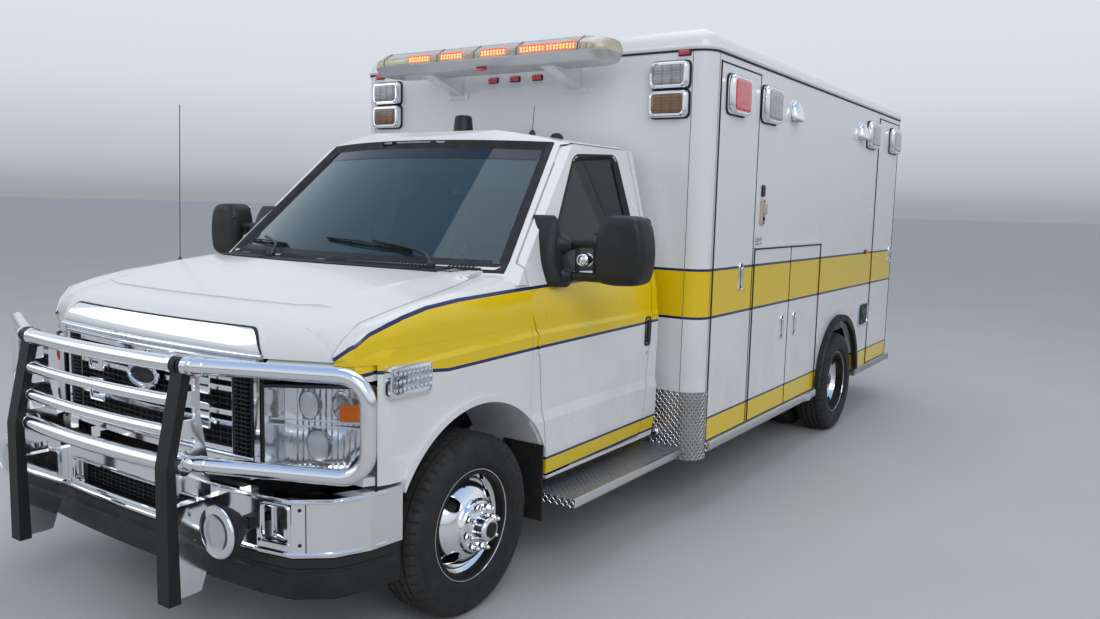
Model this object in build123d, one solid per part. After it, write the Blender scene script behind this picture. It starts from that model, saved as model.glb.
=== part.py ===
from build123d import *
import os
from math import atan2, cos, radians, sin

# Ambulance with a van cab on a truck chassis and a square patient module behind it.
# Millimetres. +X is the vehicle's left, the front faces -Y, +Z is up, the ground is z = 0.
# Every piece is drawn with the front axle at y = 0 and moved once, when it is written.

# Chassis and wheels
wheelbase = 4013
front_overhang = 1020
rear_overhang = 1830
front_track = 1763
rear_track = 1976
dual_offset = 136
tyre_radius = 362
tyre_width = 220
tyre_bead_radius = 206
tyre_shoulder_radius = 322
tyre_sides = 48
rim_lip_radius = 220
rim_width = 175
rim_wall = 7
nave_radius = 52
disc_sheet = 12
hand_holes = 4
hand_hole_radius = 30
hand_hole_circle = 150
front_dish = 58
rear_dish = -34
spindle_radius = 32
axle_clearance = 0.3
kingpin_x = 826
rail_outer_x = 432
rail_height = 180
rail_flange = 65
rail_wall = 8
rail_bottom = 470
body_mount_height = 60

# Cab
cab_half_width = 1007
cab_back_y = 1478
cab_sill_z = 430
cab_crease_z = 1098
cab_belt_z = 1340
cab_belt_half_width = 952
cab_rail_z = 1905
cab_rail_half_width = 812
cab_roof_z = 1998
cab_wall = 55
ledge_z = 700
ledge_depth = 10
crease_depth = 12
hood_thickness = 32
panel_gap = 8
glass_thickness = 6
glass_depth = 16
nose_y = -712
screen_base_y = 92
screen_base_z = 1358
screen_top_y = 728
screen_top_z = 1914
screen_radius = 1800
front_arch_radius = 492

# Patient module
module_half_width = 1207
module_front_y = 1553
module_back_y = 5600
module_roof_z = 2530
module_skirt_z = 385
module_floor_z = 770
module_floor_thickness = 40
module_wall = 50
module_corner_radius = 102
module_roof_radius = 100
roof_seam_z = 2416
door_thickness = 42
door_gap = 8
hinge_clearance = 0.3
door_top_z = 2369
low_door_top_z = 1395
rear_arch_radius = 480
flare_width = 44
flare_projection = 34

# Door openings in the module's sides: y from, y to, top
left_front_door = (1675, 2232, door_top_z)
left_low_front = (2258, 2889, low_door_top_z)
left_low_rear = (2889, 3490, low_door_top_z)
left_rear_door = (4851, 5490, door_top_z)
right_door_top_z = 2090
right_entry_door = (1850, 2640, right_door_top_z)
right_rear_door = (4851, 5490, right_door_top_z)
rear_door_half_width = 720
rear_door_bottom_z = 745
rear_door_top_z = 2330

# Grille guard
guard_tube_radius = 27
guard_small_radius = 21
guard_upright_x = 487
guard_plate = 10
guard_top_z = 1068
guard_low_z = 738
# Openings in the guard's side plates: y from, y to, z from, z to
guard_windows = [(-955, -885, 548, 640), (-950, -892, 778, 818), (-938, -890, 880, 925),
                 (-926, -888, 975, 1020)]

rear_axle_y = wheelbase
front_axle_y = front_overhang - (front_overhang + wheelbase + rear_overhang) / 2
rail_top = rail_bottom + rail_height
front_wheel_x = front_track / 2
rear_wheel_x = rear_track / 2


def block(x0, x1, y0, y1, z0, z1):
    centre = ((x0 + x1) / 2, (y0 + y1) / 2, (z0 + z1) / 2)
    return Pos(*centre) * Box(abs(x1 - x0), abs(y1 - y0), abs(z1 - z0))


def face_of(points):
    return make_face(Polyline(*points, close=True))


def rounded_face(points, radius):
    return fillet(face_of(points).vertices(), radius)


def along_x(face, x0, x1):
    """A face drawn as (y, z), from x0 to x1."""
    return extrude(Plane.YZ.offset(x0) * face, amount=x1 - x0)


def along_y(face, y0, y1):
    """A face drawn as (x, z), from y0 to y1."""
    plane = Plane(origin=(0, y1, 0), x_dir=(1, 0, 0), z_dir=(0, -1, 0))
    return extrude(plane * face, amount=y1 - y0)


def along_z(face, z0, z1):
    return extrude(Plane.XY.offset(z0) * face, amount=z1 - z0)


def tube_between(start, end, radius):
    axis = Vector(*end) - Vector(*start)
    return extrude(Plane(origin=start, z_dir=axis) * Circle(radius), amount=axis.length)


def wheel_cylinder(radius, x0, x1, y, z):
    return extrude(Plane.YZ.offset(x0) * Pos(y, z) * Circle(radius), amount=x1 - x0)


def standing_rod(radius, height):
    """An upright rod that stands on the origin."""
    return Cylinder(radius, height, align=(Align.CENTER, Align.CENTER, Align.MIN))


def hinge_barrel(x, y, z0, z1, grow=0):
    """Knuckles of a hinge that fill the gap beside a door."""
    radius = door_gap / 2 - hinge_clearance + grow
    return Pos(x, y, z0) * standing_rod(radius, z1 - z0)


def mirrored(shape):
    return mirror(shape, about=Plane.YZ)


def both_sides(shape):
    return [shape, mirrored(shape)]


def whole(pieces):
    """One compound of the solids in a list of shapes."""
    solids = []
    for piece in pieces:
        solids.extend(piece.solids())
    return Compound(children=solids)


# Cab body, as the shape left by its cross section, its side view and its plan

def cab_section(inset):
    """Cross section of the cab through the doors, as (x, z), set in by inset."""
    half = cab_half_width - inset
    belt = cab_belt_half_width - inset
    rail = cab_rail_half_width - inset
    roof = cab_roof_z - inset
    crease_x = half - crease_depth
    low = [(half - 22, cab_sill_z), (half - 4, ledge_z - 140), (half, ledge_z),
           (half - ledge_depth, ledge_z + 45), (half - 3, cab_crease_z - 20), (crease_x, cab_crease_z)]
    waist = (crease_x - 12, cab_crease_z + 125)
    edges = [Line(low[-1 - i], low[-2 - i]) for i in range(len(low) - 1)]
    edges.append(ThreePointArc(low[-1], waist, (belt, cab_belt_z)))
    edges.append(Line((belt, cab_belt_z), (rail, cab_rail_z)))
    other = [mirror(edge, about=Plane.YZ) for edge in edges]
    roof_arc = ThreePointArc((rail, cab_rail_z), (0, roof), (-rail, cab_rail_z))
    floor_line = Line((-low[0][0], cab_sill_z), low[0])
    return make_face([*edges, *other, roof_arc, floor_line])


def cab_side_view(inset):
    """Side view of the cab behind the fenders, as (y, z)."""
    roof_front = (screen_top_y + 20, screen_top_z + 26)
    points = [(-30, cab_sill_z - 1), (cab_back_y - inset, cab_sill_z - 1),
              (cab_back_y - inset, cab_roof_z - 6), (cab_back_y - 260, cab_roof_z + 1),
              (screen_top_y + 330, cab_roof_z - 4), (screen_top_y + 120, cab_roof_z - 22), roof_front,
              (-30, screen_base_z - 118)]
    return face_of(points)


screen_rake = atan2(screen_top_z - screen_base_z, screen_top_y - screen_base_y)
screen_plane = Plane(origin=(0, screen_base_y, screen_base_z), x_dir=(1, 0, 0),
                     z_dir=(0, cos(screen_rake), sin(screen_rake)))
screen_bow = screen_radius / sin(screen_rake)


def screen_band(depth0, depth1, half_width):
    """A slice of the curved windscreen surface, from depth0 to depth1 behind its face."""
    sag = screen_bow - (screen_bow ** 2 - half_width ** 2) ** 0.5
    outer = ThreePointArc((-half_width, sag + depth0), (0, depth0), (half_width, sag + depth0))
    inner = ThreePointArc((half_width, sag + depth1), (0, depth1), (-half_width, sag + depth1))
    right = Line((half_width, sag + depth0), (half_width, sag + depth1))
    left = Line((-half_width, sag + depth1), (-half_width, sag + depth0))
    face = make_face([outer, right, inner, left])
    return extrude(screen_plane * face, amount=1300, both=True)


def cab_body(inset):
    """The cab behind the hood as one solid, set in by inset."""
    section = along_y(cab_section(inset), -40, cab_back_y - inset)
    side = along_x(cab_side_view(inset), -1100, 1100)
    return (section & side) - screen_band(-1500, inset, 1300)


# Front clip sections: y, half width, how far the side leans in, height of the body line, of the shoulder
# and of the crown, then half width and height of the hood's raised middle
clip_sections = [(-790, 985, 12, 990, 1152, 1183, 610, 12), (-572, 992, 12, 1040, 1205, 1233, 640, 12),
                 (-272, 1002, 18, 1072, 1268, 1300, 690, 12), (150, 1006, 28, 1090, 1318, 1366, 780, 6),
                 (352, 1007, 34, 1098, 1336, 1386, 800, 2)]
shoulder = 62
bevel_width = 55
# How far the nose draws back at each height, which rounds its upper edge
nose_rounding = [(1040, 0), (1110, 4), (1150, 20), (1185, 50), (1215, 110), (1240, 200)]


def clip_section(y, half, lean, crease_z, shoulder_z, crown_z, middle_x, middle_rise, inset):
    half = half - inset
    top = shoulder_z - inset
    crown = crown_z - inset
    side_x = half - lean
    inner = side_x - shoulder
    arc_share = 0.5 ** 0.5
    knee = (inner + arc_share * shoulder, top - shoulder + arc_share * shoulder)
    outer_x = middle_x + bevel_width

    def crown_height(x):
        return crown - (crown - top) * (x / inner) ** 2

    low = [(half - 22, cab_sill_z), (half, ledge_z), (half - ledge_depth, ledge_z + 45),
           (half - 3, crease_z - 20), (half - crease_depth, crease_z), (side_x, top - shoulder)]
    edges = [Line(low[i], low[i + 1]) for i in range(len(low) - 1)]
    edges.append(ThreePointArc(low[-1], knee, (inner, top)))
    edges.append(Line((inner, top), (outer_x, crown_height(outer_x))))
    edges.append(Line((outer_x, crown_height(outer_x)), (middle_x, crown_height(middle_x) + middle_rise)))
    other = [mirror(edge, about=Plane.YZ) for edge in edges]
    middle = crown_height(middle_x) + middle_rise
    crown_arc = ThreePointArc((middle_x, middle), (0, crown + middle_rise), (-middle_x, middle))
    floor_line = Line((-low[0][0], cab_sill_z), low[0])
    plane = Plane(origin=(0, y, 0), x_dir=(1, 0, 0), z_dir=(0, -1, 0))
    return plane * make_face([*edges, crown_arc, *other, floor_line])


def nose_plan(offset):
    """Plan of the cab's nose as (x, y), grown by offset."""
    half = [(640, nose_y - 12), (935, -600), (985, -480), (cab_half_width, -330)]
    grown = [(640 + 0.3 * offset, nose_y - 12 - offset), (935 + 0.7 * offset, -600 - 0.8 * offset),
             (985 + offset, -480 - 0.3 * offset), (cab_half_width + offset, -330)]
    right = grown if offset else half
    left = [(-x, y) for x, y in reversed(right)]
    front = ThreePointArc(left[-1], (0, nose_y - 52 - offset), right[0])
    back = Polyline(right[-1], (right[-1][0], 400), (left[0][0], 400), left[0])
    return make_face([front, *Polyline(*right).edges(), *back.edges(), *Polyline(*left).edges()])


def nose_form(inset):
    """Everything behind the nose, whose upper edge is rounded back."""
    low_z, high_z = nose_rounding[0][0], nose_rounding[-1][0]
    form = along_z(nose_plan(-inset), cab_sill_z - 10, low_z)
    form += loft([Pos(0, 0, z) * nose_plan(-inset - back) for z, back in nose_rounding])
    return form + along_z(nose_plan(-inset - nose_rounding[-1][1]), high_z, 1500)


def clip_body(inset):
    """The hood and both fenders as one solid, set in by inset."""
    return loft([clip_section(*row, inset) for row in clip_sections]) & nose_form(inset)


def hood_plan(grow):
    """Plan of the hood as (x, y)."""
    right = [(815 + grow, nose_y - 90), (818 + grow, -660), (868 + grow, -625), (905 + grow, -535),
             (918 + grow, -260), (880 + grow, 50), (836 + grow, 137 + grow)]
    left = [(-x, y) for x, y in reversed(right)]
    back = ThreePointArc(right[-1], (0, -58 + grow), left[0])
    front = Line(left[-1], right[0])
    return make_face([*Polyline(*right).edges(), back, *Polyline(*left).edges(), front])


door_cut = [(481, 455), (435, 725), (390, 1080), (360, 1161), (352, 1372), (476, 1563), (880, 1893),
            (930, 1906), (1425, 1906), (1440, 1500), (1400, 1000), (1327, 455)]
door_window = [(512, 1342), (905, 1842), (1290, 1866), (1318, 1600), (1345, 1318)]
mirror_y = 590
mirror_depth = 120
# Mirror head as (x, z), its sail as (y, z) and the heights of its arms
mirror_head = [(1166, 1296), (1250, 1286), (1384, 1296), (1402, 1380), (1402, 1470), (1376, 1584),
               (1205, 1586), (1172, 1500)]
mirror_sail = [(447, 1505), (447, 1390), (486, 1272), (610, 1266), (655, 1322), (560, 1480), (549, 1590)]
mirror_sail_depth = 34
mirror_arm_z = (1460, 1318)
cab_hinge = (cab_half_width, 386)
cab_hinge_z = (1000, 1070)
door_skin = 16
door_depth = 44
door_step = 12 + panel_gap
door_swing_room = 2


def cab_door_prism(grow):
    return along_x(offset(face_of(door_cut), grow), 700, 1100)


pillar_width = 46
cowl_low_z = 1290
support_y = -560
lamp_outer_x = 968
liner_sheet = 6
arch_lip_width = 26
liner_outer_x = 990
cab_outer = cab_body(0)
cab_inner = cab_body(cab_wall)
cab_shell_solid = cab_outer - cab_inner
door_prism = cab_door_prism(0)
door_hole = cab_door_prism(panel_gap) + Pos(0, door_swing_room, 0) * cab_door_prism(panel_gap)
window_prism = along_x(rounded_face(door_window, 30), 700, 1100)
clip_outer = clip_body(0)
clip_inner = clip_body(hood_thickness)
clip_skin = clip_outer - clip_inner
front_of_door = block(-1100, 1100, -1000, 344, 300, 1500)
hood_prism = along_z(hood_plan(0), 1080, 1500)
hood_hole = along_z(hood_plan(panel_gap), 1040, 1500)


hood_hinge = (150, 1322)
hood_hinge_x = (796, 822)
hood_pin_radius = 6


def hood_pin(radius, x0, x1):
    return wheel_cylinder(radius, x0, x1, *hood_hinge)


def make_hood():
    hood = (clip_skin & hood_prism).solids().sort_by(SortBy.VOLUME)[-1]
    y, z = hood_hinge
    x0, x1 = hood_hinge_x
    leaf = block(x0, x1, y - 60, y, z - 22, z + 6) + hood_pin(hood_pin_radius + 5, x0, x1)
    leaf -= hood_pin(hood_pin_radius + hinge_clearance, x0, x1)
    for piece in both_sides(leaf):
        hood += piece
    return [hood]


def screen_opening(grow):
    """The windscreen's outline, seen square to the glass, as a prism through it."""
    low = ThreePointArc((-872 - grow, 160), (0, 4 - grow), (872 + grow, 160))
    high = ThreePointArc((716 + grow, 944 + grow), (0, 852 + grow), (-716 - grow, 944 + grow))
    outline = make_face([low, Line(low @ 1, high @ 0), high, Line(high @ 1, low @ 0)])
    up_screen = (0, -sin(screen_rake), cos(screen_rake))
    plane = Plane(origin=screen_plane.origin, x_dir=(1, 0, 0), z_dir=up_screen)
    return extrude(plane * fillet(outline.vertices(), 40), amount=600, both=True)


def pillar_zone(width):
    """What lies within width of the windscreen's edge, close behind and before the glass."""
    return screen_band(-200, 100, 1200) & screen_opening(width)


def make_windscreen():
    glass = screen_band(glass_depth, glass_depth + glass_thickness, 1100) & screen_opening(0)
    return [glass]


def make_cab_shell():
    shell = cab_shell_solid - screen_opening(0)
    shell -= block(-880, 880, 0, 2000, 300, rail_top + body_mount_height)
    for hole in both_sides(door_hole - pillar_zone(pillar_width - panel_gap)):
        shell -= hole
    x, y = cab_hinge
    z0, z1 = cab_hinge_z
    hinge_room = hinge_barrel(x, y, z0, z1, hinge_clearance)
    hinge_room += block(x - 20, x + 5, y - hinge_clearance, y + 14, z0 - 4, z1 + 4)
    for room in both_sides(hinge_room):
        shell -= room
    shell -= block(-1100, 1100, -1000, 346, 300, cowl_low_z)
    shell -= along_z(hood_plan(panel_gap), cowl_low_z, 1500)
    shell -= wheel_cylinder(front_arch_radius + panel_gap, -1100, 1100, 0, tyre_radius)
    shell -= block(-380, 380, cab_back_y - 200, cab_back_y + 10, 640, 1700)
    floor = block(-cab_half_width + 60, cab_half_width - 60, 346, cab_back_y - 30,
                  rail_top + body_mount_height, 760)
    floor -= wheel_cylinder(front_arch_radius + panel_gap, -1100, 1100, 0, tyre_radius)
    firewall = block(-880, 880, 346, 380, rail_top + body_mount_height, 1240)
    firewall -= wheel_cylinder(front_arch_radius + panel_gap, -1100, 1100, 0, tyre_radius)
    shell = shell + floor + firewall
    return [shell.solids().sort_by(SortBy.VOLUME)[-1]]


def make_front_fenders():
    skin = clip_outer - clip_body(22)
    skin &= front_of_door
    skin -= cab_outer & block(-1100, 1100, 100, 400, cowl_low_z - 0.3, 1500)
    skin -= hood_hole
    skin -= block(-lamp_outer_x - 0.3, lamp_outer_x + 0.3, -1000, -420, 300, 1070)
    skin -= block(-700, 700, -1000, 400, 300, 1500)
    skin -= wheel_cylinder(front_arch_radius, -1100, 1100, 0, tyre_radius)
    skin -= block(-1100, 1100, -1000, bumper_back_end_y + panel_gap, 300, bumper_high_z + panel_gap)
    liner = wheel_cylinder(front_arch_radius + liner_sheet, 640, liner_outer_x, 0, tyre_radius)
    liner -= wheel_cylinder(front_arch_radius, 0, 1100, 0, tyre_radius)
    liner &= block(0, 1100, -405, 470, 545, 900)
    for piece in both_sides(liner):
        skin += piece
    lip = wheel_cylinder(front_arch_radius + arch_lip_width, 965, cab_half_width + 5, 0, tyre_radius)
    lip -= wheel_cylinder(front_arch_radius, 0, 1100, 0, tyre_radius)
    lip &= block(0, 1100, -425, 335, 470, 900)
    for piece in both_sides(lip):
        skin += piece
    y, z = hood_hinge
    x0, x1 = hood_hinge_x
    for slot in both_sides(block(x0 - 4, x1 + 4, y - 90, y + 24, z - 40, z + 60)):
        skin -= slot
    for pin in both_sides(hood_pin(hood_pin_radius, x0 - 16, x1)):
        skin += pin
    support = block(-1000, 1000, support_y, support_y + 40, rail_top, rail_top + 30) & clip_body(10)
    skin += support
    return skin.solids().filter_by(lambda solid: solid.volume > 100000)


def make_cab_door(side):
    """Door cut from the cab's skin, with its inner panel set back at the rear so that it swings clear."""
    skin = cab_outer - Pos(-door_depth, 0, 0) * cab_outer
    door = (skin & door_prism) - window_prism - pillar_zone(pillar_width)
    deep = (Pos(-door_skin, 0, 0) * cab_outer) & door_prism
    door -= deep - Pos(0, -door_step, 0) * door_hole
    x, y = cab_hinge
    door = door.solids().sort_by(SortBy.VOLUME)[-1] + hinge_barrel(x, y, *cab_hinge_z)
    door += block(x - 16, x - crease_depth / 2, y, y + 22, *cab_hinge_z)
    door += block(x - 8, x, y, y + 6, *cab_hinge_z)
    door = door.solids().sort_by(SortBy.VOLUME)[-1]
    return [door if side > 0 else mirrored(door)]


def make_door_glass(side):
    pane = (cab_body(glass_depth) - cab_body(glass_depth + glass_thickness)) & window_prism
    pane = pane.solids().sort_by(SortBy.VOLUME)[-1]
    return [pane if side > 0 else mirrored(pane)]


def make_mirror(side):
    """Mirror head on two arms that grow out of a sail at the window's front corner."""
    outline = rounded_face(mirror_head, 34)
    y = mirror_y
    head = along_y(outline, y - mirror_depth / 2, y + mirror_depth / 2)
    head = fillet(head.edges().group_by(Axis.Y)[0], 24)
    sail = along_x(rounded_face(mirror_sail, 14), 880, 1010) - cab_body(0)
    sail = sail & cab_body(-mirror_sail_depth)
    body = head + sail.solids().sort_by(SortBy.VOLUME)[-1]
    for z in mirror_arm_z:
        arm = block(935, 1190, y - 42, y + 20, z - 21, z + 21)
        body += fillet(arm.edges().filter_by(Axis.X), 15) - cab_body(0)
    body = body.solids().sort_by(SortBy.VOLUME)[-1]
    return [body if side > 0 else mirrored(body)]


# Wheels

def make_tyre(x_centre):
    """Tyre as rings of equal flats, from bead to bead. Its lowest flat lies on the ground."""
    half = tyre_width / 2
    bead = rim_width / 2 - rim_wall - 0.3
    side = [(bead, tyre_bead_radius + 0.3), (bead, tyre_bead_radius + 20), (half - 2, 262), (half, 292),
            (half - 3, tyre_shoulder_radius), (half - 14, 350), (half - 32, tyre_radius)]
    rings = [(-x, radius) for x, radius in side] + side[::-1]
    step = radians(360 / tyre_sides)

    def corner(ring, index):
        x, flat_radius = rings[ring % len(rings)]
        radius = flat_radius / cos(step / 2)
        angle = (index + 0.5) * step
        return (x_centre + x, radius * sin(angle), -radius * cos(angle))

    flats = []
    for ring in range(len(rings)):
        for index in range(tyre_sides):
            corners = [corner(ring, index), corner(ring + 1, index), corner(ring + 1, index + 1),
                       corner(ring, index + 1)]
            flats.append(face_of(corners))
    return Solid(Shell(flats))


def at_wheel(shape, y):
    return Pos(0, y, tyre_radius) * shape


def rim_face(x_centre, side, dish):
    """Half section of a steel rim: barrel, lips, a disc that bulges by dish towards side, nave and cap."""
    half = rim_width / 2
    bore = spindle_radius + axle_clearance
    well = tyre_bead_radius - 8
    barrel = [(-half, rim_lip_radius), (-half, well), (half, well), (half, rim_lip_radius),
              (half - 6, rim_lip_radius), (half - 6, tyre_bead_radius), (6 - half, tyre_bead_radius),
              (6 - half, rim_lip_radius)]
    front = [(dish - 54, well + 1), (dish - 40, 182), (dish - 16, 160), (dish - 2, 130), (dish, 114),
             (dish + 10, 108)]
    nave = [(dish + 14, 100), (dish + 14, nave_radius), (dish + 54, nave_radius - 2),
            (dish + 58, nave_radius - 12)]
    back = [(dish + 40, 0), (dish + 40, bore), (dish - disc_sheet, bore), (dish - disc_sheet, 112),
            (dish - 14, 130), (dish - 28, 158), (dish - 52, 180), (dish - 66, well + 1)]
    disc = front + nave + [(dish + 60, 0)] + back
    return [face_of([(x_centre + side * x, r) for x, r in points]) for points in (barrel, disc)]


def make_rim(x_centre, side, dish):
    rim = None
    for face in rim_face(x_centre, side, dish):
        ring = revolve(face, Axis.X)
        rim = ring if rim is None else rim + ring
    for index in range(hand_holes):
        angle = radians(360 * (index + 0.5) / hand_holes)
        y = hand_hole_circle * cos(angle)
        z = hand_hole_circle * sin(angle)
        rim -= wheel_cylinder(hand_hole_radius, x_centre - 120, x_centre + 120, y, z)
    return rim


def make_front_wheel(side):
    rim = make_rim(side * front_wheel_x, side, front_dish)
    tyre = make_tyre(side * front_wheel_x)
    return at_wheel(rim, 0), at_wheel(tyre, 0)


def make_rear_wheel(side):
    outer_x = side * (rear_wheel_x + dual_offset)
    inner_x = side * (rear_wheel_x - dual_offset)
    outer = make_rim(outer_x, side, rear_dish)
    inner_dish = make_rim(inner_x, -side, rear_dish)
    inner_dish -= wheel_cylinder(spindle_radius + axle_clearance, -1400, 1400, 0, 0)
    disc_reach = dual_offset + rear_dish - disc_sheet + 1
    hub_from = rear_wheel_x - disc_reach
    hub_to = rear_wheel_x + disc_reach
    hub_bore = spindle_radius + axle_clearance
    hub = revolve(face_of([(side * hub_from, 80), (side * hub_to, 80), (side * hub_to, hub_bore),
                           (side * hub_from, hub_bore)]), Axis.X)
    inner = inner_dish + hub
    tyres = [at_wheel(make_tyre(x), rear_axle_y) for x in (inner_x, outer_x)]
    return [at_wheel(outer + inner, rear_axle_y)], tyres


# Nose: grille, headlamps, bumper and guard

lamp_outline = [(628, 684), (628, 988), (lamp_outer_x, 1004), (lamp_outer_x, 812), (925, 716)]
grille_half_width = 612
grille_low_z = 690
grille_high_z = 1072
bumper_low_z = 440
bumper_high_z = 640
bumper_sheet = 14
bumper_back_end_y = -431
# Bumper's plan from its front corner to its rear end
bumper_corner = [(690, -802), (832, -776), (936, -690), (988, -570), (1003, bumper_back_end_y)]
bumper_front_y = -830
bumper_recess = (708, 822, 484, 612)
valance_low_z = 292


def nose_ring(offset, thickness, z0, z1):
    """A wall that follows the plan of the nose, offset in front of it."""
    return along_z(nose_plan(offset), z0, z1) - along_z(nose_plan(offset - thickness), z0 - 1, z1 + 1)


def bumper_plan(inset):
    """Plan of the bumper as (x, y), set in by inset."""
    right = bumper_corner
    left = [(-x, y) for x, y in reversed(right)]
    front = ThreePointArc(left[-1], (0, bumper_front_y), right[0])
    back = Polyline(right[-1], (right[-1][0], 0), (left[0][0], 0), left[0])
    face = make_face([front, *Polyline(*right).edges(), *back.edges(), *Polyline(*left).edges()])
    return offset(face, -inset) if inset else face


def bumper_ring(inset, thickness, z0, z1):
    """A wall that follows the bumper's plan."""
    ring = along_z(bumper_plan(inset), z0, z1) - along_z(bumper_plan(inset + thickness), z0 - 1, z1 + 1)
    return ring & block(-1200, 1200, -1000, bumper_back_end_y, 200, 900)


def make_headlamps():
    lamp = along_y(rounded_face(lamp_outline, 18), -900, -440)
    lens = nose_ring(-2, 90, 600, 1060) & lamp
    lens = lens.solids().sort_by(SortBy.VOLUME)[-1]
    return both_sides(lens)


grille_frame = 26
grille_depth = 46
# Heights of the grille's bars, twin bars in two tiers between a top and a bottom bar
grille_bars = [(1034, 1066), (982, 1000), (944, 962), (858, 876), (820, 838), (700, 744)]
grille_tiers = [(930, 1014), (806, 890)]
grille_block_x = (288, 384)
vent_x = (488, 574)
vent_slats = 11
badge_z = 952
badge_size = (92, 42)


def make_grille():
    """Grille with twin bars in two tiers, blocks near their ends, slatted vents and a bare oval."""
    half = grille_half_width
    low, high = grille_low_z, grille_high_z
    front = block(-half, half, -900, -560, low, high)
    hole = block(grille_frame - half, half - grille_frame, -900, -560, low + 24, high - 24)
    grille = nose_ring(-4, 60, low, high) & (front - hole)
    grille += nose_ring(-grille_depth, 10, low, high) & front
    for z0, z1 in grille_bars:
        grille += nose_ring(-10, grille_depth - 8, z0, z1) & block(20 - half, half - 20, -900, -560, z0, z1)
    for sign in (-1, 1):
        x0, x1 = sorted((sign * grille_block_x[0], sign * grille_block_x[1]))
        for z0, z1 in grille_tiers:
            grille += nose_ring(4, grille_depth + 8, z0, z1) & block(x0, x1, -900, -560, z0, z1)
        for x in vent_x:
            grille += nose_ring(-4, grille_depth, low + 10, high - 10) & block(
                sign * x - 7, sign * x + 7, -900, -560, low, high)
        x0, x1 = sorted((sign * vent_x[0], sign * vent_x[1]))
        for index in range(vent_slats):
            z = low + 70 + index * (high - low - 120) / (vent_slats - 1)
            slat = block(x0, x1, -900, -560, z - 6, z + 6)
            grille += nose_ring(-14, grille_depth - 10, z - 6, z + 6) & slat
    oval = extrude(Plane(origin=(0, 0, badge_z), z_dir=(0, -1, 0)) * Ellipse(*badge_size), amount=900)
    grille += oval & nose_ring(2, grille_depth + 6, low, high)
    for sign in (-1, 1):
        x = sign * (half - 60)
        grille += block(x - 30, x + 30, -740, support_y, rail_top, 700)
    return [grille.solids().sort_by(SortBy.VOLUME)[-1]]


def make_front_bumper():
    """Bumper shell with its mouth and lamp recesses, the valance below and the horns that carry it."""
    low, high = bumper_low_z, bumper_high_z
    shell = bumper_ring(0, bumper_sheet, low, high) + bumper_ring(0, 60, high - 12, high)
    shell += bumper_ring(0, 40, low, low + 10)
    shell -= block(-410, 410, -1000, -640, 476, 572)
    x0, x1, z0, z1 = bumper_recess
    for hole in both_sides(block(x0, x1, -1000, -640, z0, z1)):
        shell -= hole
    for pocket in both_sides(block(x0 - 10, x1 + 10, -770, -700, z0 - 10, z1 + 10)):
        shell += pocket & along_z(bumper_plan(bumper_sheet), low, high)
    valance = bumper_ring(12, bumper_sheet, valance_low_z, low)
    backing = bumper_ring(bumper_sheet + 30, 10, low, high - 12) & block(-424, 424, -1000, -640, 400, 700)
    bumper = shell + valance + backing
    for sign in (-1, 1):
        bumper += block(sign * 350, sign * 424, -800, -700, low + 40, high - 10)
    return [bumper.solids().sort_by(SortBy.VOLUME)[-1]]


driving_lamp = (671, -930, 543)
driving_lamp_radius = 86


def make_lamp_pods():
    """Round driving lamps in front of the bumper."""
    x, y, z = driving_lamp
    pods = []
    for sign in (-1, 1):
        centre = (sign * x, y, z)
        bowl = extrude(Plane(origin=centre, z_dir=(0, -1, 0)) * Circle(driving_lamp_radius), amount=18)
        cone = loft([Plane(origin=centre, z_dir=(0, 1, 0)) * Circle(driving_lamp_radius),
                     Plane(origin=(sign * x, y + 68, z), z_dir=(0, 1, 0)) * Circle(50)])
        foot = block(sign * x - 20, sign * x + 20, y + 50, -640, z - 23, z + 23)
        foot -= along_z(bumper_plan(-0.3), 300, 900)
        pods.append(bowl + cone + foot)
    return pods


# Side view of the guard's plate and of the strip on its front edge, as (y, z)
guard_outline = [(-985, 275), (-1000, 735), (-925, 1075), (-868, 1075), (-872, 900), (-842, 720), (-836, 640),
                 (-836, 400), (-880, 275)]
guard_strip = [(-1020, 270), (-1018, 735), (-945, 1082), (-912, 1082), (-985, 735), (-975, 270)]
guard_strip_width = 64


def guard_tube(points, radius, corner):
    path = FilletPolyline(*points, radius=corner)
    start = path @ 0
    return sweep(Plane(origin=start, z_dir=path % 0) * Circle(radius), path=path)


def make_grille_guard():
    guard = None
    plate_face = rounded_face(guard_outline, 12)
    for sign in (-1, 1):
        x = sign * guard_upright_x
        plate = along_x(plate_face, x - guard_plate / 2, x + guard_plate / 2)
        strip = along_x(face_of(guard_strip), x - guard_strip_width / 2, x + guard_strip_width / 2)
        for y0, y1, z0, z1 in guard_windows:
            window = fillet(block(x - 20, x + 20, y0, y1, z0, z1).edges().filter_by(Axis.X), 8)
            plate -= window
        plate += strip
        guard = plate if guard is None else guard + plate
    for sign in (-1, 1):
        x = sign * guard_upright_x
        foot = block(x - 20, x + 20, -980, -700, 470, 600) - along_z(bumper_plan(-0.3), 300, 900)
        guard += foot
    bow = 28
    rows = [(guard_top_z, -938, guard_tube_radius), (948, -945, guard_small_radius),
            (845, -955, guard_small_radius), (guard_low_z, -965, guard_tube_radius)]
    for z, y, radius in rows:
        arc = ThreePointArc((-guard_upright_x, y, z), (0, y - bow, z), (guard_upright_x, y, z))
        guard += sweep(Plane(origin=arc @ 0, z_dir=arc % 0) * Circle(radius), path=arc)
    loop_yaw = radians(22)
    for sign in (-1, 1):
        span = 660
        far_x = guard_upright_x + span * cos(loop_yaw)
        far_y = -938 + span * sin(loop_yaw)
        points = [(sign * guard_upright_x, -938, guard_top_z), (sign * far_x, far_y, guard_top_z),
                  (sign * far_x, far_y, guard_low_z), (sign * guard_upright_x, -938, guard_low_z)]
        guard += guard_tube(points, guard_tube_radius, 95)
    return guard.solids()


# Chassis

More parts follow.
